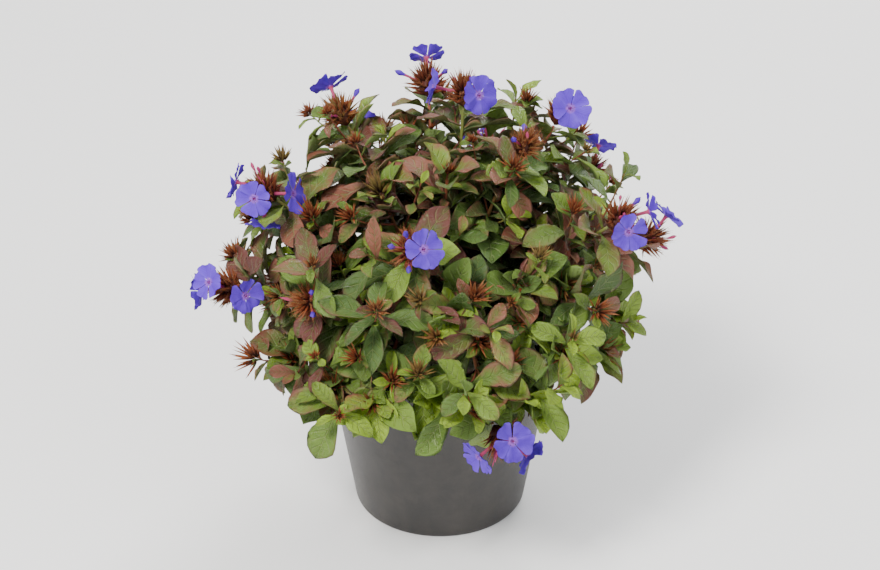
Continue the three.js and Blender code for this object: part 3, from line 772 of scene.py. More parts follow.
def finish(colour, roughness, height, distance, strength=1.0, specular=0.5, through=None, sheen=0.0):
    """The surface: a bump of the height, the principled shader, and for a thin blade a share of
    light of some colour that comes through it."""
    tree = colour.tree
    bump = add_node(tree, "ShaderNodeBump", {"Height": height, "Distance": distance, "Strength": strength})
    surface = add_node(tree, "ShaderNodeBsdfPrincipled", {
        "Base Color": colour, "Roughness": roughness, "Normal": bump, "Specular IOR Level": specular,
        "Sheen Weight": sheen, "Sheen Roughness": 0.45,
    })
    if through:
        share, light = through
        back = add_node(tree, "ShaderNodeBsdfTranslucent", {"Color": light})
        surface = add_node(tree, "ShaderNodeMixShader", {0: share, 1: surface, 2: back})
    add_node(tree, "ShaderNodeOutputMaterial", {"Surface": surface}, None)


def leaf_finish(place, settings):
    """Green that runs from deep to lime with the leaf's age, a wine flush from the tip and margins,
    pale veins, a paler lower face, and light that comes through."""
    across, along = across_along(place)
    age, flush, under, tone = attributes(place, "Age", "Flush", "Under", "Tone")
    patches = mottle(place, 110.0, 0.3, 0.18)
    specks = mottle(place, 420.0, 0.5, 0.2)
    veins, rib = effect("Veins", Across=across, Along=along, Count=6.5, Slant=0.24)
    nets = effect("Veins", Across=across, Along=along, Count=19.0, Slant=-0.3, Width=0.3)[0]
    # Deep green is the old leaves' colour, and the painted shade of the inner leaves, whose tone is low.
    green = mix(tone * 0.65 + patches * 0.35, settings.deep_green, settings.mid_green)
    green = mix(age, green, settings.young_green)
    edge = abs(across * 2.0 - 1.0) ** 2.0
    reach = along * 0.35 + flush + edge * 0.4 + patches * 0.5 + specks * 0.12 - rib * 0.25
    wine = mix(tone.ramp(0.3, 0.8), settings.flush, settings.flush_pale)
    wine = mix(specks * 0.3, wine, settings.flush)
    colour = mix(reach.ramp(0.85, 1.5), green, wine)
    colour = mix((veins * 0.36).most(rib * 0.66), colour, settings.vein)
    colour = mix(specks * 0.18, colour, settings.deep_green)
    colour = mix(under * 0.5, colour, settings.underside)
    height = patches * 0.5 + specks * 0.3 - veins.most(rib) - nets * 0.3
    light = mix(0.55, colour, settings.young_green)
    finish(colour, patches.ramp(0.0, 1.0, 0.26, 0.46), height, 0.0005, 1.0, 0.6, (0.24, light), 0.05)


def stalk_finish(place, settings):
    """Wiry stems: woody brown at the foot, rust red and green towards the tip, finely ribbed."""
    across, along = across_along(place)
    tone = attributes(place, "Tone")[0]
    patches = mottle(place, 160.0, 0.35, 0.25)
    ribs = (across * (8 * TURN)).math("SINE")
    colour = mix(along.ramp(0.1, 0.6), settings.bark, settings.stalk_red)
    colour = mix(along.ramp(0.45, 1.0) * tone.ramp(0.2, 1.0), colour, settings.mid_green)
    colour = mix(patches * 0.45, colour, settings.bark)
    finish(colour, patches.ramp(0.0, 1.0, 0.5, 0.75), ribs * 0.4 + patches, 0.0002)


def bract_finish(place, settings):
    """Dry bristly bracts: green-gold, rust or dark red with the head's ripeness, lighter at the
    tips, with keels, and feet darkened as painted shade of the head's inside."""
    across, along = across_along(place)
    ripe, tone = attributes(place, "Ripe", "Tone")
    patches = mottle(place, 300.0, 0.4, 0.25)
    keel = (across * (5 * TURN)).math("SINE")
    colour = mix(ripe.ramp(0.0, 0.5), settings.bract_young, settings.bract_rust)
    colour = mix(ripe.ramp(0.5, 1.0), colour, settings.bract_ripe)
    colour = mix(along.ramp(0.45, 1.0) * tone.ramp(0.1, 1.0, 0.2, 0.85), colour, settings.bract_tip)
    # Painted shade: each bract darkens towards its foot, where the inside of the head is shaded.
    colour = mix(along.ramp(0.6, 0.05) * 0.9, colour, settings.bract_foot_shade)
    colour = mix(patches * 0.35, colour, settings.bract_ripe)
    light = mix(0.5, colour, settings.bract_rust)
    rough = patches.ramp(0.0, 1.0, 0.5, 0.8)
    finish(colour, rough, patches * 0.5 + keel, 0.00015, 1.0, 0.35, (0.12, light))


def petal_finish(place, settings):
    """Corollas: a pink tube, then violet-blue lobes with a darker middle line, fanned veins and a
    pale eye. Each bloom is taken by its tone towards a deeper violet as painted shade, and its lobes
    are lighter at the margins as painted highlight. Along is 0 to 1 up the tube and 1 to 2 along a lobe."""
    across, along = across_along(place)
    tone, faded = attributes(place, "Tone", "Faded")
    lobe = along - 1.0
    patches = mottle(place, 260.0, 0.35, 0.25)
    veins, rib = effect(
        "Veins", Across=across, Along=lobe, Count=5.0, Slant=0.6, Width=0.2, Rib=0.1
    )
    off = abs(across * 2.0 - 1.0)
    # Painted shade: each bloom is taken by its tone towards the deep colour, the look of a bloom in shade.
    colour = mix(tone.ramp(0.0, 1.0), settings.petal_veins_and_shade, settings.petal)
    # Painted highlight: lobes lighter towards their margins, with pale patches of their own colour.
    colour = mix(off**3.0 * 0.3 + patches * 0.35, colour, settings.petal_pale_and_highlight)
    lines = (veins * 0.32).most(rib * 0.5)
    colour = mix(lines, colour, settings.petal_veins_and_shade)
    star = lobe.ramp(0.26, 0.0) - off * 0.5
    colour = mix(star.math("MULTIPLY", 0.7, clamp=True), colour, settings.eye)
    colour = mix(along.ramp(1.0, 0.94), colour, settings.tube)
    colour = mix(faded, colour, settings.tube)
    light = mix(0.6, colour, settings.petal_pale_and_highlight)
    rough = patches.ramp(0.0, 1.0, 0.5, 0.7)
    finish(colour, rough, patches * 0.3 - lines, 0.0002, 0.8, 0.3, (0.25, light))


def pot_finish(place, settings):
    """Matt moulded plastic with a faint grain, scuffs, dried water marks and peat dust."""
    patches = mottle(place, 28.0, 0.2, 0.4)
    grain = mottle(place, 900.0, 0.5, 0.3)
    dust = effect("Dust", Vector=place, Amount=0.35, Scale=120.0)[0]
    drawn_out = add_node(place.tree, "ShaderNodeMapping", {"Vector": place, "Scale": (1.0, 1.0, 0.08)})
    streaks = mottle(drawn_out, 95.0, 0.2, 0.12)
    colour = mix(patches, settings.plastic, settings.plastic_worn)
    colour = mix(streaks * 0.07, colour, settings.dust)
    colour = mix(dust, colour, settings.dust)
    finish(colour, patches.ramp(0.0, 1.0, 0.34, 0.5), patches * 0.6 + grain, 0.00012, 0.7)


def peat_finish(place, settings):
    """Damp peat: dark fibres and crumbs with paler bark and root bits by each crumb's tone."""
    tone = attributes(place, "Tone")[0]
    patches = mottle(place, 110.0, 0.45, 0.2)
    grain = mottle(place, 700.0, 0.5, 0.25)
    colour = mix(patches, settings.peat, settings.peat_dry)
    colour = mix(tone.ramp(0.8, 1.0), colour, settings.bark_chip)
    finish(colour, 0.9, patches + grain, 0.0008, 1.0, 0.25)


def floor_finish(place, settings):
    """A matt backdrop, a little cloudy."""
    cloudy = mottle(place, 2.0, 0.1, 0.4)
    colour = mix(cloudy, settings.floor, [0.97 * part for part in settings.floor])
    finish(colour, 0.85, cloudy, 0.0001, 0.1)


FINISHES = {
    "Plumbago Leaf": leaf_finish,
    "Plumbago Stalk": stalk_finish,
    "Plumbago Bract": bract_finish,
    "Plumbago Petal": petal_finish,
    "Nursery Pot Plastic": pot_finish,
    "Peat": peat_finish,
    "Pale Floor": floor_finish,
}


def material(name, settings):
    """A material by its name, made the first time that it is asked for. Its patterns start from the
    coordinates of the object that it is on."""
    found = bpy.data.materials.get(name)
    if not found:
        found = bpy.data.materials.new(name)
        found.use_nodes = True
        found.node_tree.nodes.clear()
        FINISHES[name](add_node(found.node_tree, "ShaderNodeTexCoord", out="Object"), settings)
    return found


# Sizes and colours that a user would change.

def colour_setting(name, description, *value):
    return bpy.props.FloatVectorProperty(
        name=name, description=description, subtype="COLOR", size=3, min=0.0, max=1.0, default=srgb(*value)
    )


def length_setting(name, description, value):
    return bpy.props.FloatProperty(
        name=name, description=description, unit="LENGTH", default=value * MM, min=0.0, precision=5
    )


class PotSettings(bpy.types.PropertyGroup):
    """The pot and the peat in it."""

    lip: length_setting("Rim roll", "Radius of the rolled edge at the rim", 0.7)
    ridge: length_setting("Band ridge", "How far the moulding ridges stand out of the rim band", 0.18)
    clods: length_setting("Clods", "Height of the clods in the surface of the peat", 1.3)
    crumbs: bpy.props.IntProperty(name="Crumbs", description="Loose crumbs on the peat", default=900, min=0)
    plastic: colour_setting("Plastic", "Colour of the pot", 33, 31, 30)
    plastic_worn: colour_setting("Worn plastic", "Colour of the pot where it is scuffed", 44, 41, 39)
    dust: colour_setting("Dust", "Colour of dried water marks and dust", 96, 88, 79)
    peat: colour_setting("Peat", "Colour of damp peat", 38, 27, 20)
    peat_dry: colour_setting("Dry peat", "Colour of drier peat", 74, 54, 40)
    bark_chip: colour_setting("Bark", "Colour of bits of bark", 122, 90, 62)


class FoliageSettings(bpy.types.PropertyGroup):
    """The stems and leaves."""

    thickness: length_setting("Leaf thickness", "Half the thickness of a leaf at its rib", 0.22)
    ruffle: length_setting("Ruffle", "Height of the small waves along a leaf's margin", 0.8)
    stem_share: bpy.props.FloatProperty(
        name="Stem slimness", description="A stem's radius as a share of the frame's",
        default=0.78, min=0.3, max=1.0
    )
    deep_green: colour_setting("Deep green", "Oldest and shaded leaves", 46, 72, 26)
    mid_green: colour_setting("Mid green", "Most leaves", 102, 136, 48)
    young_green: colour_setting("Young green", "Youngest leaves", 156, 186, 42)
    vein: colour_setting("Veins", "Ribs and veins", 168, 182, 112)
    underside: colour_setting("Underside", "The lower face of a leaf", 138, 158, 98)
    flush: colour_setting("Flush", "Wine flush of older leaves", 108, 46, 42)
    flush_pale: colour_setting("Pale flush", "Where the flush is lighter", 156, 92, 70)
    bark: colour_setting("Bark", "The foot of a stem", 84, 58, 42)
    stalk_red: colour_setting("Stem red", "The upper part of a stem", 150, 78, 52)


class FlowerSettings(bpy.types.PropertyGroup):
    """The heads, blooms and buds."""

    bracts: bpy.props.IntProperty(name="Bracts", description="Bracts on a head", default=86, min=12)
    petal_thickness: length_setting("Petal thickness", "Half the thickness of a lobe", 0.14)
    notch: length_setting("Notch", "Depth of the notch in the end of a lobe", 1.0)
    bract_young: colour_setting("Young bracts", "Bracts of a young head", 146, 132, 66)
    bract_rust: colour_setting("Rust bracts", "Bracts of a full head", 166, 84, 42)
    bract_ripe: colour_setting("Ripe bracts", "Bracts of a head in flower", 104, 34, 26)
    # The colour of the painted shade at the feet of the bracts and on the core, inside a head.
    bract_foot_shade: colour_setting("Bract feet", "The dark inside of a head", 48, 22, 16)
    bract_tip: colour_setting("Bract tips", "Dry tips and bristles", 208, 150, 96)
    petal: colour_setting("Petal", "The lobes of a bloom", 98, 44, 206)
    # The colour of the veins and middle lines, and the painted shade of blooms of low tone.
    petal_veins_and_shade: colour_setting("Deep petal", "Middle lines and shaded blooms", 72, 26, 164)
    # The colour of the painted highlight at the lobes' margins, and of pale patches in the lobes.
    petal_pale_and_highlight: colour_setting("Light petal", "Lighter patches of a lobe", 134, 92, 238)
    tube: colour_setting("Tube", "The tube of a bloom, and spent blooms", 188, 72, 108)
    eye: colour_setting("Eye", "The pale star round a bloom's mouth", 196, 120, 214)


class StageSettings(bpy.types.PropertyGroup):
    """The floor, the lights and the camera."""

    floor: colour_setting("Floor", "Colour of the floor", 247, 246, 244)
    elevation: bpy.props.FloatProperty(
        name="Camera elevation", description="How steeply the camera looks down", subtype="ANGLE",
        default=math.radians(31)
    )
    distance: length_setting("Camera distance", "From the camera to the plant", 1500.0)
    lens: bpy.props.FloatProperty(name="Lens", description="Focal length in millimetres", default=116.0)


@functools.cache
def plant():
    """The plant, grown once and shared by the operators."""
    shoots = grow_shoots()
    heads = standing_heads(shoots)
    leaves, sprigs = standing_leaves(shoots), grow_sprigs(shoots, heads)
    return {"shoots": shoots, "leaves": leaves, "heads": heads, "sprigs": sprigs}


def wall_radius(z):
    """The radius of the pot's outer wall at a height: a straight cone."""
    return BASE_RADIUS + (BODY_TOP_RADIUS - BASE_RADIUS) / (POT_HEIGHT - BAND_HEIGHT) * z


class PLUMBAGO_OT_pot(bpy.types.Operator):
    """Make the pot: a thin moulded wall with a ribbed rim band, a foot ring and drain holes"""

    bl_idname = "plumbago.pot"
    bl_label = "Pot"

    def execute(self, context):
        """The profile runs from the underside's middle over the foot ring, up the wall, over the
        step and the ribbed band, round the rolled lip, and down the inside to the floor."""
        settings = context.scene.plumbago_pot
        lip = settings.lip / MM
        ledge = POT_HEIGHT - BAND_HEIGHT
        foot = [(21, 0), (22, 0.5), (23.5, 3), (41.5, 3), (42.6, 0.6), (43.2, 0), (BASE_RADIUS - 1.4, 0)]
        foot += [(BASE_RADIUS - 0.5, 0.3), (wall_radius(1.5) - 0.1, 1.4), (wall_radius(2.4), 2.4)]
        wall = [(wall_radius(z), z) for z in np.linspace(6, ledge - 1.2, 12)]
        step = [(BODY_TOP_RADIUS + 0.1, ledge - 0.2), (RIM_RADIUS - 3.2, ledge + 0.3)]
        step += [(RIM_RADIUS - 2.4, ledge + 0.9), (RIM_RADIUS - 2.1, ledge + 2)]
        high = np.linspace(ledge + 2.8, POT_HEIGHT - 3.2, 17)
        ridges = settings.ridge / MM * np.clip(np.sin((high - ledge) * TURN / RIDGE_PITCH) * 3, -1, 1)
        band = [*zip(RIM_RADIUS - 2.1 + 0.085 * (high - ledge - 2) + ridges, high)]
        angle = np.linspace(-0.5, 0.5, 7) * math.pi
        roll = [*zip(RIM_RADIUS - lip + lip * np.cos(angle), POT_HEIGHT - lip + lip * np.sin(angle))]
        inside = [(RIM_RADIUS - 2.0, POT_HEIGHT), (RIM_RADIUS - 2.6, POT_HEIGHT - 0.6)]
        inside += [(RIM_RADIUS - 3.4, ledge + 2.6), (BODY_TOP_RADIUS - WALL, ledge + 1)]
        inside += [(wall_radius(z) - WALL, z) for z in np.linspace(ledge - 4, 4.2, 8)]
        inside += [(22.8, 4.2), (20.3, WALL)]
        profile = np.array(foot + wall + step + band + roll + inside)
        piece = Piece("pot_moulding").add(lathe(profile, 128), on_axis(0), on_axis(WALL))
        drill_holes(piece.make(material("Nursery Pot Plastic", settings), "pot", "pot"))
        return {"FINISHED"}


def drill_holes(pot):
    """Cuts the ring of drain holes out of the pot's floor, and applies the cut."""
    spots = polar(DRAIN_CIRCLE, TURN * (np.arange(DRAIN_HOLES) + 0.5) / DRAIN_HOLES, 0)
    pin = lathe(np.array([[DRAIN_RADIUS, 1.6], [DRAIN_RADIUS, 5.6]]), 24)
    cutter = Piece("drills").add(spots[:, None, None] + pin).make(pot.data.materials[0], "pot")
    cut = pot.modifiers.new("Drain holes", "BOOLEAN")
    cut.operation = "DIFFERENCE"
    cut.solver = "EXACT"
    cut.object = cutter
    bpy.context.view_layer.update()
    drilled = pot.evaluated_get(bpy.context.evaluated_depsgraph_get())
    cut_mesh = bpy.data.meshes.new_from_object(drilled)
    pot.modifiers.clear()
    pot.data = cut_mesh
    bpy.data.objects.remove(cutter)
    pot.data.polygons.foreach_set("use_smooth", np.full(len(pot.data.polygons), True))
    pot.data.set_sharp_from_angle(angle=math.radians(38))


def soil_height(x, y):
    """The broad relief of the peat: a product and a sum of sines."""
    crossed = np.sin(x * 0.17 + 1) * np.cos(y * 0.13)
    return SOIL_LEVEL + SOIL_RELIEF * (0.6 * crossed + 0.4 * np.sin((x + 2 * y) * 0.29))


def clod_height(x, y):
    """Fine relief, from about -1 to 1: five layers of crossed sines, each 1.9 times as fine as the
    one before it, and lower by 1.6."""
    total = 0
    for layer in range(5):
        grain = 0.35 * 1.9**layer
        turn = 1.3 * layer
        along = x * math.cos(turn) + y * math.sin(turn)
        across = y * math.cos(turn) - x * math.sin(turn)
        crossed = np.sin(along * grain + layer) * np.sin(across * grain * 1.2 + 2 * layer)
        total = total + crossed / 1.6**layer
    return 0.6 * total


class PLUMBAGO_OT_soil(bpy.types.Operator):
    """Make the root ball, with clods in its surface, and the loose crumbs of peat and bark on it"""

    bl_idname = "plumbago.soil"
    bl_label = "Soil"

    def execute(self, context):
        settings = context.scene.plumbago_pot
        heights = np.array([SOIL_FOOT, SOIL_FOOT, SOIL_LEVEL - 3, SOIL_LEVEL])
        reach = wall_radius(heights) - WALL - GAP
        body = lathe(np.stack([reach[:3] * (0.5, 1, 1), heights[:3]], axis=1), 160)
        top = polar(np.linspace(reach[3] - 0.8, 1.0, 56)[:, None], around(160), 0)[None]
        x, y = top[..., 0], top[..., 1]
        top[..., 2] = soil_height(x, y) + settings.clods / MM * clod_height(x, y)
        rings = np.concatenate([body, top], axis=1)
        piece = Piece("root_ball")
        piece.add(rings, on_axis(SOIL_FOOT), on_axis(soil_height(0, 0)), Tone=0.0)
        piece.make(material("Peat", settings), "soil", "soil")
        self.scatter_crumbs(settings, reach[3] - 2)
        return {"FINISHED"}

    def scatter_crumbs(self, settings, reach):
        """Lumps of six sides, pushed in and out at each corner and flattened, half sunk in the
        peat: at a golden-angle spiral with a seeded shift."""
        n = settings.crumbs
        each = np.arange(n)
        spot = polar(reach * np.sqrt((each + 0.5) / n), each * GOLDEN_ANGLE + 0.5 * draw(each, 60), 0)
        size = 0.5 + 1.9 * draw(each, 61) ** 3
        spot[:, 2] = soil_height(spot[:, 0], spot[:, 1]) + 0.35 * size + 0.3
        rows, sides = 3, 6
        fall = math.pi * (np.arange(rows) + 0.8) / (rows + 0.6)
        corner = lathe(np.stack([np.sin(fall), np.cos(fall)], axis=1), sides)
        index = np.arange(rows * sides).reshape(1, rows, sides)
        rough = 0.7 + 0.6 * draw(each[:, None, None], index, 62)
        stretch = np.stack([0.8 + 0.8 * draw(each, 63), np.ones(n), 0.5 + 0.3 * draw(each, 64)], -1)
        lumps = corner * rough[..., None] * (size[:, None] * stretch)[:, None, None]
        turn = TURN * draw(each, 65)[:, None, None]
        x, y = lumps[..., 0].copy(), lumps[..., 1].copy()
        lumps[..., 0] = x * np.cos(turn) - y * np.sin(turn)
        lumps[..., 1] = x * np.sin(turn) + y * np.cos(turn)
        piece = Piece("peat_crumbs")
        piece.add(lumps + spot[:, None, None], Tone=draw(each, 66)[:, None, None])
        piece.make(material("Peat", settings), "soil", smooth=False)


# The stalks of stems, side shoots and sprigs: rows, sides, share of a stem's thickness, and where
# the run of colour from the brown foot to the green tip begins.
STALKS = ((64, 8, 1.0, 0.0), (40, 7, 0.72, 0.45), (16, 6, 0.5, 0.6))


class PLUMBAGO_OT_stalks(bpy.types.Operator):
    """Make the wiry stems and side shoots, with a swelling at each leaf"""

    bl_idname = "plumbago.stalks"
    bl_label = "Stems"

    def execute(self, context):
        settings = context.scene.plumbago_foliage
        for i in range(len(SHOOTS)):
            piece = Piece(f"stem_{i + 1:02d}_stalks")
            for shoot in plant()["shoots"] + plant()["sprigs"]:
                if shoot.stem == i:
                    self.add_stalk(piece, shoot, settings.stem_share)
            piece.make(material("Plumbago Stalk", settings), "leaf")
        return {"FINISHED"}

    def add_stalk(self, piece, shoot, share):
        """A tube along the shoot's curve that tapers, swells at each leaf and bows a little."""
        rows, sides, thickness, green = STALKS[shoot.level]
        t = np.linspace(0, 1, rows)
        at, _, u, v = shoot.frame(t)
        swelling = np.exp(-(((t[:, None] - shoot.places) / 0.012) ** 2)).sum(axis=1)
        radius = STEM_FOOT_RADIUS + (STEM_TIP_RADIUS - STEM_FOOT_RADIUS) * t
        radius = radius * share * thickness * (1 + 0.2 * np.minimum(swelling, 1))
        bow = 0.3 * np.sin(t * 21 + shoot.number) * t * (1 - t) * 4
        rings = tubes((at + u * bow[:, None])[None], (u[None], v[None]), radius[None], sides)
        coordinates = wrap(sides, rows)
        coordinates["v"] = green + (1 - green) * coordinates["v"]
        piece.add(rings, **coordinates, Tone=draw(shoot.number, 40))


def stack(leaves):
    """A list of leaves as one set of arrays."""
    return {name: np.array([leaf[name] for leaf in leaves], float) for name in leaves[0]}


def clamp(value):
    """The value, kept between 0 and 1."""
    return min(max(value, 0.0), 1.0)


def colour_leaf(leaf, shoot):
    """A leaf's age, flush, tone and outline. The youngest leaves are lime and so are many low at
    the front, the leaves round a head and those on the outside flush, and inner ones are dark, as
    painted shade and as old leaves."""
    i, k = leaf["shoot"], leaf["rank"]
    x, y, z = leaf["at"]
    leafy = shoot.blooms is None
    front = clamp((POT_HEIGHT + 56 - z) / 40) * clamp(-y / 50) * clamp(1.4 + x / 50)
    lime = 0.9 if draw(i, 38) < 0.45 + 0.35 * front else 0.35
    age = max(0.0, lime - 0.19 * k) if leafy else max(0.0, 0.3 - 0.1 * k)
    age = age + 0.4 * draw(i, k, 41) ** 2 + 0.14 * front
    flush = -0.18 + 1.12 * draw(i, k, 42) ** 1.7 - 0.5 * age + 0.2 * draw(i, 39)
    flush += 0.15 * math.hypot(x, y) / 90 - 0.0016 * x - 0.3 * front
    if not leafy and k < 6:
        flush += 0.2
    leaf["age"] = min(age, 1.0)
    leaf["flush"] = flush
    leaf["tone"] = 0.65 * draw(i, k, 43) + 0.35 * draw(i, 37)
    leaf["broad"] = 1.25 + 0.42 * draw(i, k, 44)
    leaf["blunt"] = 0.8 + 0.35 * draw(i, k, 45)
    leaf["ripple"] = 0.03 + 0.07 * draw(i, k, 36)
    leaf["roll"] = 0.5 * (draw(i, k, 46) - 0.5)


def added_leaf(shoot, t, rank, key, turn, pitch, length, heads, spread):
    """A leaf that stands at t on a shoot, turned round it and pitched away from it in degrees, and
    spread away from the pot's axis, or None where it would reach into a head, a bloom or the pot."""
    i = shoot.number
    at, along, u, v = shoot.frame(t)
    pitch = math.radians(pitch)
    way = along * math.cos(pitch)
    way = way + sweep(u, v, math.radians(turn + 360 * draw(i, 3))) * math.sin(pitch)
    way = unit(way + outward(at) * spread + UP * 0.1)
    tilt = u * (draw(i, key, 6) - 0.5) + v * (draw(i, key, 7) - 0.5)
    face = along * 0.5 + UP * 0.75 + outward(at) * 0.35 + tilt
    leaf = {
        "at": at,
        "dir": way,
        "normal": square_to(way, face),
        "length": length,
        "half": 0.5 * length * (0.47 + 0.17 * draw(i, key, 9)),
        "bend": math.radians(10 + 62 * draw(i, key, 10)),
        "fold": math.radians(12 + 30 * draw(i, key, 11)),
        "wave": length * (0.035 + 0.045 * draw(i, key, 12)),
        "phase": FULL_TURN * draw(i, key, 13),
        "stem": shoot.stem,
        "shoot": i,
        "rank": rank,
    }
    if hits_head(leaf, heads):
        return None
    colour_leaf(leaf, shoot)
    leaf["tone"] = 0.65 * draw(i, key, 47) + 0.35 * draw(i, 37)
    leaf["roll"] = 1.4 * (draw(i, key, 49) - 0.5)
    return leaf


def sprig_leaves(sprig, heads):
    """The leaves of a sprig: a rosette at its tip that opens and grows down along it."""
    n = sprig.number
    for k, t in enumerate(sprig.places):
        turn = DIVERGENCE * k + 26 * (draw(n, k, 4) - 0.5)
        pitch = min((48 if sprig.tufted else 28) + 10 * k, 80) + 18 * (draw(n, k, 5) - 0.3)
        length = min((9.5 + 2.6 * min(k, 5)) * (0.75 + 0.5 * draw(n, k, 8)) * sprig.vigour, 32)
        yield added_leaf(sprig, t, k, k, turn, pitch, length, heads, 0.25)


def small_leaves(shoot, heads):
    """Smaller leaves between the large ones: up to three at each leaf's place, turned away from it."""
    i = shoot.number
    for k, place in enumerate(shoot.places):
        for j, share in enumerate((0.85, 0.7, 0.5)):
            key = 10 * k + j + 60
            if draw(i, key, 50) > share:
                continue
            t = np.clip(place - 0.012 * j + 0.02 * (draw(i, key, 51) - 0.5), 0.05, 0.985)
            turn = DIVERGENCE * k + 70 + 110 * j + 50 * (draw(i, key, 52) - 0.5)
            pitch = 38 + 34 * draw(i, key, 53)
            length = 9 + 17 * draw(i, key, 55) ** 1.3
            leaf = added_leaf(shoot, t, k, key, turn, pitch, length, heads, 0.35)
            if leaf:
                leaf["flush"] += 0.5 * (draw(i, key, 48) - 0.4)
            yield leaf


def inner_leaves(shoot, heads):
    """Old leaves low on a stem or side shoot, drooping, which close the plant's inside. They are dark
    as old leaves and as painted shade of the plant's inside.
    """
    i = shoot.number
    count, reach = (4, 0.24) if shoot.level else (14, 0.62)
    for j in range(count):
        t = 0.12 + reach * (j + 0.5) / count
        turn = DIVERGENCE * j + 40 * (draw(i, j, 130) - 0.5)
        pitch = 70 + 30 * draw(i, j, 132)
        length = 20 + 13 * draw(i, j, 131)
        leaf = added_leaf(shoot, t, 9, 400 + j, turn, pitch, length, heads, 0.1)
        if leaf:
            leaf["age"] = 0.0
            # A low tone takes these leaves to deep green: the painted shade inside the plant, as well as
            # old leaves' own colour.
            leaf["tone"] = 0.4 * draw(i, j, 133)
            leaf["flush"] = 0.1 + 0.7 * draw(i, j, 134)
        yield leaf


def hits_head(leaf, heads):
    """Whether a small leaf reaches into a head or over it, into a bloom, or into the pot."""
    for share in (0.5, 1.0):
        point = leaf["at"] + leaf["dir"] * leaf["length"] * share
        if math.hypot(point[0], point[1]) < RIM_RADIUS + 1 and point[2] < POT_HEIGHT + 1:
            return True
        for head in heads:
            for height, room in HEAD_ROOM:
                middle = head["at"] + head["turn"] @ (UP * height * head["size"])
                if np.linalg.norm(point - middle) < room * head["size"]:
                    return True
            for bloom in head["open"]:
                face = bloom["at"] + bloom["turn"] @ (UP * TUBE_LENGTH)
                if np.linalg.norm(point - face) < BLOOM_RADIUS + 1:
                    return True
    return False


class PLUMBAGO_OT_leaves(bpy.types.Operator):
    """Make each stem's leaves, with the small leaves between them"""

    bl_idname = "plumbago.leaves"
    bl_label = "Leaves"

    def execute(self, context):
        settings = context.scene.plumbago_foliage
        shoots, heads, large = (plant()[name] for name in ("shoots", "heads", "leaves"))
        for leaf in large:
            colour_leaf(leaf, shoots[leaf["shoot"]])
        small = [leaf for shoot in shoots for leaf in small_leaves(shoot, heads)]
        small += [leaf for shoot in shoots for leaf in inner_leaves(shoot, heads)]
        small += [leaf for sprig in plant()["sprigs"] for leaf in sprig_leaves(sprig, heads)]
        for i in range(len(SHOOTS)):
            piece = Piece(f"stem_{i + 1:02d}_leaves")
            for leaves, rows, sides in ((large, 16, 12), (small, 9, 8)):
                own = [leaf for leaf in leaves if leaf and leaf["stem"] == i]
                if not own:
                    continue
                arrays = stack(own)
                arrays["ruffle"] = settings.ruffle / MM * arrays["length"] / LEAF_LENGTH
                rings, tips, values = blades(arrays, rows, sides, settings.thickness / MM)
                for name in ("age", "flush", "tone"):
                    values[name.title()] = arrays[name][:, None, None]
                piece.add(rings, arrays["at"], tips, **values)
            piece.make(material("Plumbago Leaf", settings), "leaf", f"leafy_stem_{i + 1:02d}")
        return {"FINISHED"}


def spindles(foot, way, length, radius, curl, sides, rows):
    """Slender pointed bodies: radius * sin(pi s^0.55) round a line that bows outward as s^2. Gives
    their rings, their two ends and their texture coordinates."""
    s = np.linspace(0.04, 0.94, rows)
    path = foot[:, None] + way[:, None] * (length[:, None] * s)[..., None]
    path = path + curl[:, None] * (s**2)[:, None]
    profile = radius[:, None] * np.sin(math.pi * s**0.55)
    rings = tubes(path, cross_frames(way[:, None]), profile, sides)
    return (rings, foot, foot + way * length[:, None] + curl), wrap(sides, rows)


def head_spikes(count, size, key, spread):
    """Feet and directions of bracts over a head's core, along a golden-angle spiral from its top
    down to the spread in degrees, in the head's own axes."""
    j = np.arange(count)
    fall = np.radians(6 + spread * ((j + 0.5) / count) ** 0.75)
    angle = j * math.radians(DIVERGENCE) + 0.5 * (draw(key, j, 70) - 0.5)
    out = polar(np.sin(fall), angle, np.cos(fall))
    foot = out * (3.0, 3.0, 3.8) * size + UP * 6.2 * size
    jitter = np.stack([draw(key, j, 71), draw(key, j, 72), draw(key, j, 73)], axis=-1) - 0.5
    way = unit(out * 0.85 + UP * 0.5 + jitter * 0.6)
    return foot * (0.95, 0.95, 1), way, out


def foot_spikes(count, size, key):
    """Feet and directions of the bracts that sheathe a head's foot, from its stem up and outward."""
    j = np.arange(count)
    angle = j * math.radians(DIVERGENCE) + 0.4 * draw(key, j, 84)
    fall = np.radians(44 + 30 * draw(key, j, 85))
    out = polar(np.sin(fall), angle, np.cos(fall))
    foot = polar(1.0 * size, angle, (0.7 + 3.0 * j / count) * size)
    return foot, out, out


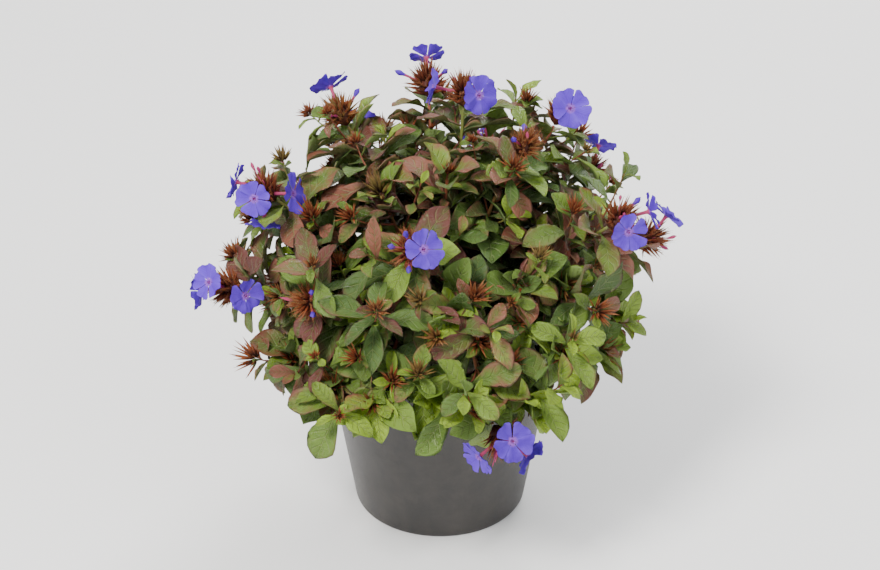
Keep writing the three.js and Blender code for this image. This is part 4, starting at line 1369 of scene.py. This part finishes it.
class PLUMBAGO_OT_heads(bpy.types.Operator):
    """Make the bristly heads: a core, pointed bracts all over it and bristles on the bracts"""

    bl_idname = "plumbago.heads"
    bl_label = "Flower heads"

    def execute(self, context):
        settings = context.scene.plumbago_flower
        for head in plant()["heads"]:
            number, size = head["number"], head["size"]
            piece = Piece(f"head_{number + 1:02d}_bracts")
            ripe = 0.2 + 0.45 * draw(number, 80) + 0.12 * len(head["open"])
            upper = head_spikes(settings.bracts, size, number, 112)
            lower = foot_spikes(settings.bracts // 5, size, number)
            spikes = [np.concatenate(pair) for pair in zip(upper, lower)]
            self.add_bracts(piece, head, spikes, ripe)
            piece.make(material("Plumbago Bract", settings), "bract", f"flower_head_{number + 1:02d}")
        return {"FINISHED"}

    def add_bracts(self, piece, head, spikes, ripe):
        """The bracts that leave the open blooms free, the egg-shaped core under them: radius * sin(pi
        s^0.85) turned round the head's axis, and the bristles."""
        number, size, seat = head["number"], head["size"], (head["turn"], head["at"])
        free = np.ones(len(spikes[0]), bool)
        for normal in head["taken"]:
            free &= spikes[2] @ normal < BRACT_CLEAR
        foot, way, out, j = (values[free] for values in (*spikes, np.arange(len(free))))
        length = size * (6.6 + 3.6 * draw(number, j, 74))
        radius = size * (0.46 + 0.34 * draw(number, j, 75) ** 1.5)
        curl = size * (out * 0.9 - UP * 0.3) * (draw(number, j, 76)[:, None] - 0.35) * 2.2
        tone = draw(number, j, 77)[:, None, None]
        own = np.clip(ripe + 0.5 * (draw(number, j, 78) - 0.5), 0, 1)[:, None, None]
        bodies, coordinates = spindles(foot, way, length, radius, curl, 5, 7)
        piece.add(*bodies, seat, **coordinates, Ripe=own, Tone=tone)
        s = np.linspace(0.06, 0.94, 9)
        core = np.stack([CORE_RADIUS * np.sin(math.pi * s**0.85), CORE_HEIGHT * s], axis=1) * size
        ends = on_axis(0), on_axis(CORE_HEIGHT * size)
        # v = 0 gives the core the full painted shade of the bract feet.
        piece.add(lathe(core, 12), *ends, seat, u=0.0, v=0.0, Ripe=ripe, Tone=0.0)
        self.add_bristles(piece, number, foot, way, length, radius, curl, seat, own)

    def add_bristles(self, piece, number, foot, way, length, radius, curl, seat, ripe):
        """Fine three-sided hairs that stand off the outer half of each bract, and one on its tip."""
        each, hair = (index.ravel() for index in np.indices((len(foot), BRISTLES)))
        way, key, last = way[each], number + each, (hair == 0)[:, None]
        s = np.where(last, 0.98, 0.3 + 0.65 * draw(key, hair, 81)[:, None])
        side = sweep(*cross_frames(way), TURN * draw(key, hair, 82))
        start = foot[each] + way * length[each][:, None] * s + curl[each] * s**2
        start = start + side * radius[each][:, None] * np.where(last, 0.05, 0.5)
        lean = unit(side * np.where(last, 0.15, 1.0) + way * 0.9)
        tip = start + lean * (1.1 + 1.1 * draw(key, hair, 83))[:, None]
        thin = np.full((len(each), 1), BRISTLE_RADIUS)
        ring = tubes(start[:, None], cross_frames(lean[:, None]), thin, 3)
        piece.add(ring, start - lean * 0.2, tip, seat, u=0.0, v=1.0, Ripe=ripe[each], Tone=0.8)


def bloom_bodies(settings, key):
    """A bloom in its own axes, as a list of lofted bodies with their values: the tube and mouth as
    a turned profile, five lobes, and the stamens. A lobe runs along p from the mouth to its end and
    across its own width, and each has its own width, length, tilt, twist, waves and notch."""
    profile = np.array([
        (0.9, 0.2), (0.95, 1.5), (0.85, 6), (0.9, 10), (1.05, 11.6), (1.4, 12.5), (2.0, 12.95),
        (1.95, 13.1), (1.15, 12.9), (0.75, 12.3), (0.45, 11.2),
    ])
    heights = np.array([0, 0.1, 0.4, 0.75, 0.88, 0.97, 1.02, 1.04, 1.0, 0.93, 0.85])
    bodies = [(lathe(profile, 15), on_axis(0), on_axis(11), 0.25, heights[:, None])]
    slot = TURN / 5
    p = np.array([0.03, 0.12, 0.22, 0.34, 0.47, 0.6, 0.72, 0.82, 0.9, 0.96, 0.992])[:, None]
    c, s = np.cos(around(16)), np.sin(around(16))
    lobe = np.arange(5)[:, None, None]
    own = [draw(key, lobe, channel) for channel in range(140, 148)]
    grown = 0.86 + 0.14 * draw(key, 148)
    claw = 0.95 + 5.1 * np.clip((p - 0.03) / 0.67, 0, 1) ** 0.9
    claw = claw * (0.84 + 0.2 * own[0]) * grown
    round_end = np.clip(1 - np.clip((p - 0.68) / 0.32, 0, 1) ** 2.5, 0, 1) ** 0.45
    across = claw * round_end * c
    dip = (0.5 + 1.0 * own[1]) * settings.notch / MM * np.exp(-((across / 1.4) ** 2)) * p**8
    dip = dip - 0.22 * np.sin(across * 2.6 + 9 * own[2]) * p**6
    reach = (BLOOM_RADIUS - 0.5) * (0.92 + 0.1 * own[3]) * grown
    radius = 1.25 + reach * p - dip
    cup = 0.35 + 0.5 * draw(key, 149)
    lift = (cup + 1.5 * (own[4] - 0.5)) * 2.6 * p**1.6
    lift = lift - 4.8 * own[5] * np.clip(p - 0.55, 0, 1) ** 1.5
    lift = lift + (0.08 + 0.3 * (own[6] - 0.5)) * across
    lift = lift + 0.16 * np.abs(across) ** 1.3 * (1 - 0.5 * p) * (0.5 + own[5])
    lift = lift + 0.6 * np.sin(across * 1.35 + 5 * p + 6 * own[7]) * p
    lift = lift - 0.22 * np.exp(-((across / 0.6) ** 2)) * (1 - p)
    lift = lift + settings.petal_thickness / MM * s * (1.15 - p) - 0.1
    turned = slot * (lobe + 0.5) + 0.16 * (own[2] - 0.5)
    x = radius * np.cos(turned) - across * np.sin(turned)
    y = radius * np.sin(turned) + across * np.cos(turned)
    rings = np.stack(np.broadcast_arrays(x, y, TUBE_LENGTH + lift), axis=-1)
    foot = rings[:, 0].mean(axis=1)
    tip = rings[:, -1].mean(axis=1) + polar(0.04, turned[:, 0, 0], 0)
    bodies.append((rings, foot, tip, 0.5 + 0.5 * c, 1 + p))
    stem = slot * np.arange(5)
    start = polar(0.4, stem, 11.0)
    way = unit(polar(0.16, stem, 1.0))
    path = start[:, None] + way[:, None] * np.linspace(0, 3.0, 5)[:, None]
    thick = np.tile([0.11, 0.11, 0.11, 0.24, 0.24], (5, 1))
    rings = tubes(path, cross_frames(way[:, None]), thick, 5)
    bodies.append((rings, start, path[:, -1] + way * 0.3, 0.5, 1.03))
    return bodies


class PLUMBAGO_OT_blooms(bpy.types.Operator):
    """Make the open blooms: a slender tube and five notched lobes with their stamens"""

    bl_idname = "plumbago.blooms"
    bl_label = "Blooms"

    def execute(self, context):
        settings = context.scene.plumbago_flower
        for head in plant()["heads"]:
            number = head["number"]
            for b, bloom in enumerate(head["open"]):
                label = f"{number + 1:02d}_{b + 1}"
                piece = Piece(f"corolla_{label}")
                tone = 0.15 + 0.85 * draw(number, b, 90)
                seat = (bloom["turn"], bloom["at"])
                for rings, foot, tip, u, v in bloom_bodies(settings, 10 * number + b):
                    piece.add(rings, foot, tip, seat, u=u, v=v, Tone=tone, Faded=0.0)
                piece.make(material("Plumbago Petal", settings), "petal", f"bloom_{label}")
        return {"FINISHED"}


class PLUMBAGO_OT_buds(bpy.types.Operator):
    """Make the closed buds and the shrivelled blooms that stand between a head's bracts"""

    bl_idname = "plumbago.buds"
    bl_label = "Buds and spent blooms"

    def execute(self, context):
        piece = Piece("buds_and_spent_blooms")
        for head in plant()["heads"]:
            number, size = head["number"], head["size"]
            count = min(5, 2 + len(head["open"]) + int(2 * draw(number, 100)))
            j = np.arange(count)
            fall = np.radians(12 + 60 * draw(number, j, 101))
            out = polar(np.sin(fall), TURN * (j / count + 0.3 * draw(number, j, 102)), np.cos(fall))
            if head["taken"]:
                apart = (out @ np.array(head["taken"]).T).max(axis=1) < BUD_CLEAR
                out, j = out[apart], j[apart]
            if not len(j):
                continue
            length = size * (9.5 + 5 * draw(number, j, 103))
            foot = UP * 6 * size + out * 3 * size
            self.add_buds(piece, head, foot, out, length, number, j)
        piece.make(material("Plumbago Petal", context.scene.plumbago_flower), "petal")
        return {"FINISHED"}

    def add_buds(self, piece, head, foot, way, length, number, j):
        """A stalk-like tube that swells into a twisted, pointed end, or shrivels where it is spent:
        the radius is a slim tube plus a bump at 0.8, with five folds that wind round."""
        s = np.linspace(0, 0.97, 14)[:, None]
        angle = around(10)
        spent = (draw(number, j, 104) > 0.55).astype(float)[:, None, None]
        bud = 0.62 + 0.75 * np.exp(-(((s - 0.8) / 0.13) ** 2))
        withered = 0.5 + 0.35 * np.sin(9 * s + number)
        radius = (bud * (1 - spent) + withered * spent) * np.clip((1 - s) / 0.12, 0, 1) ** 0.7
        radius = radius * (1 + 0.22 * np.sin(5 * angle + 9 * s) * np.clip(2 * s - 0.6, 0, 1))
        cross = cross_frames(way[:, None])
        bow = spent * 1.3 * np.sin(3 * s + number) * s * cross[0]
        path = foot[:, None] + way[:, None] * (length[:, None, None] * s) + bow
        tip = foot + way * length[:, None] + bow[:, -1]
        along = np.where(spent > 0.5, 0.5, 0.5 + 1.0 * np.clip((s - 0.56) / 0.1, 0, 1))
        rings = tubes(path, cross, radius, 10)
        seat = (head["turn"], head["at"])
        piece.add(rings, foot, tip, seat, u=0.2, v=along, Tone=0.0, Faded=0.75 * spent)


class PLUMBAGO_OT_tufts(bpy.types.Operator):
    """Make the small young tufts of bracts in the leafy tips and in some leaf axils"""

    bl_idname = "plumbago.tufts"
    bl_label = "Young tufts"

    def execute(self, context):
        piece = Piece("young_tufts")
        for shoot in plant()["shoots"] + plant()["sprigs"]:
            number = shoot.number
            full = (0.45 if shoot.level == 2 else 0.55) + 0.85 * draw(number, 115) ** 1.3
            spots = [(1.0, full, -1)] if shoot.tufted else []
            spots += [
                (t - 0.01, 0.3 + 0.25 * draw(number, k, 110), k)
                for k, t in enumerate(shoot.places)
                if 2 < k and shoot.level < 2 and draw(number, k, 111) > 0.72
            ]
            for t, size, k in spots:
                self.add_tuft(piece, shoot, t, size, k)
        piece.make(material("Plumbago Bract", context.scene.plumbago_flower), "bract")
        return {"FINISHED"}

    def add_tuft(self, piece, shoot, t, size, k):
        """A few short spindles that spread from one point beside or over the stem."""
        number = shoot.number
        at, along, u, v = shoot.frame(t)
        beside = k >= 0
        lean = along
        if beside:
            angle = math.radians(360 * draw(number, 3) + DIVERGENCE * k + 20)
            lean = unit(along * 0.8 + sweep(u, v, angle))
        count = 10 if beside else int(12 + 16 * size)
        spread = 62 + 40 * draw(number, k, 117)
        foot, way, out = head_spikes(count, 0.5 * size, number + 3 * k, spread)
        j = np.arange(count)
        length = size * (6.4 + 4.0 * draw(number, j, k + 112))
        radius = (0.28 + 0.28 * size) * (0.8 + 0.5 * draw(number, j, 118))
        curl = size * (out - UP * 0.2) * (draw(number, j, 119)[:, None] - 0.2) * 1.4
        bodies, coordinates = spindles(foot - UP * 2.4 * size, way, length, radius, curl, 4, 5)
        seat = (upright_to(unit(lean + UP * 0.3)), at + lean * (0.6 if beside else 0.2))
        ripe = 0.05 + 0.55 * draw(number, k, 114)
        tone = draw(number, j, 113)[:, None, None]
        piece.add(*bodies, seat, **coordinates, Ripe=ripe, Tone=tone)


# The studio: half the floor's side, what the lights and the camera turn to, and each light's place,
# size, power and colour. These lengths are metres.
FLOOR_HALF = 6.0
LIT_POINT = (0.0, 0.0, 0.12)
CAMERA_RAISED = 0.008
LIGHTS = (
    ("key_light", (-0.8, -1.0, 1.8), 0.6, 66, (1.0, 0.98, 0.95)),
    ("fill_light", (1.3, -0.9, 1.1), 1.4, 13, (0.95, 0.98, 1.0)),
    ("back_light", (0.5, 1.4, 1.4), 0.8, 36, (1.0, 1.0, 1.0)),
)
SKY = (0.93, 0.95, 1.0, 1)
SKY_STRENGTH = 0.74


class PLUMBAGO_OT_stage(bpy.types.Operator):
    """Make the pale floor, the soft studio lights and the camera"""

    bl_idname = "plumbago.stage"
    bl_label = "Stage"

    def execute(self, context):
        settings = context.scene.plumbago_stage
        self.make_floor(settings)
        self.make_camera(context, settings)
        self.make_lights(context)
        return {"FINISHED"}

    def make_floor(self, settings):
        """A square in the plane under the pot, of four corners."""
        mesh = bpy.data.meshes.new("floor")
        corners = [(x * FLOOR_HALF, y * FLOOR_HALF, 0) for x, y in ((-1, -1), (1, -1), (1, 1), (-1, 1))]
        mesh.from_pydata(corners, [], [(0, 1, 2, 3)])
        mesh.materials.append(material("Pale Floor", settings))
        floor = bpy.data.objects.new("floor", mesh)
        bpy.context.scene.collection.objects.link(floor)

    def make_camera(self, context, settings):
        """A camera in front that looks down at the middle of the part."""
        low, high = CAD_BOX
        target = Vector((0.0, 0.0, 0.5 * float(low[2] + high[2]) + CAMERA_RAISED))
        lift = settings.elevation
        away = Vector((0.0, -math.cos(lift), math.sin(lift))) * settings.distance
        data = bpy.data.cameras.new("camera")
        data.lens = settings.lens
        data.clip_end = 30
        camera = bpy.data.objects.new("camera", data)
        camera.location = target + away
        camera.rotation_euler = (math.pi / 2 - lift, 0, 0)
        context.scene.collection.objects.link(camera)
        context.scene.camera = camera

    def make_lights(self, context):
        """The area lights, all turned to the plant, and an even sky."""
        for name, place, size, power, colour in LIGHTS:
            data = bpy.data.lights.new(name, "AREA")
            data.size = size
            data.energy = power
            data.color = colour
            light = bpy.data.objects.new(name, data)
            light.location = place
            aim = Vector(LIT_POINT) - Vector(place)
            light.rotation_euler = aim.to_track_quat("-Z", "Y").to_euler()
            context.scene.collection.objects.link(light)
        world = bpy.data.worlds.new("studio")
        world.use_nodes = True
        background = world.node_tree.nodes["Background"].inputs
        background["Color"].default_value = SKY
        background["Strength"].default_value = SKY_STRENGTH
        context.scene.world = world


OPERATORS = (
    PLUMBAGO_OT_stage,
    PLUMBAGO_OT_pot,
    PLUMBAGO_OT_soil,
    PLUMBAGO_OT_stalks,
    PLUMBAGO_OT_leaves,
    PLUMBAGO_OT_heads,
    PLUMBAGO_OT_blooms,
    PLUMBAGO_OT_buds,
    PLUMBAGO_OT_tufts,
)

SETTINGS = (
    ("plumbago_pot", PotSettings),
    ("plumbago_foliage", FoliageSettings),
    ("plumbago_flower", FlowerSettings),
    ("plumbago_stage", StageSettings),
)


class PLUMBAGO_PT_panel(bpy.types.Panel):
    """The sizes, colours and pieces of the potted plumbago"""

    bl_idname = "PLUMBAGO_PT_panel"
    bl_label = "Potted Plumbago"
    bl_space_type = "VIEW_3D"
    bl_region_type = "UI"
    bl_category = "Plumbago"

    def draw(self, context):
        for name, group in SETTINGS:
            box = self.layout.box()
            for key in group.__annotations__:
                box.prop(getattr(context.scene, name), key)
        for operator in OPERATORS:
            self.layout.operator(operator.bl_idname)


def register():
    for name, group in SETTINGS:
        bpy.utils.register_class(group)
        setattr(bpy.types.Scene, name, bpy.props.PointerProperty(type=group))
    for cls in (*OPERATORS, PLUMBAGO_PT_panel):
        bpy.utils.register_class(cls)


def unregister():
    for cls in (PLUMBAGO_PT_panel, *reversed(OPERATORS)):
        bpy.utils.unregister_class(cls)
    for name, group in reversed(SETTINGS):
        delattr(bpy.types.Scene, name)
        bpy.utils.unregister_class(group)


def main():
    """Registers the add-on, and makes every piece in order."""
    register()
    for operator in OPERATORS:
        group, name = operator.bl_idname.split(".")
        getattr(getattr(bpy.ops, group), name)()


if __name__ == "__main__":
    main()
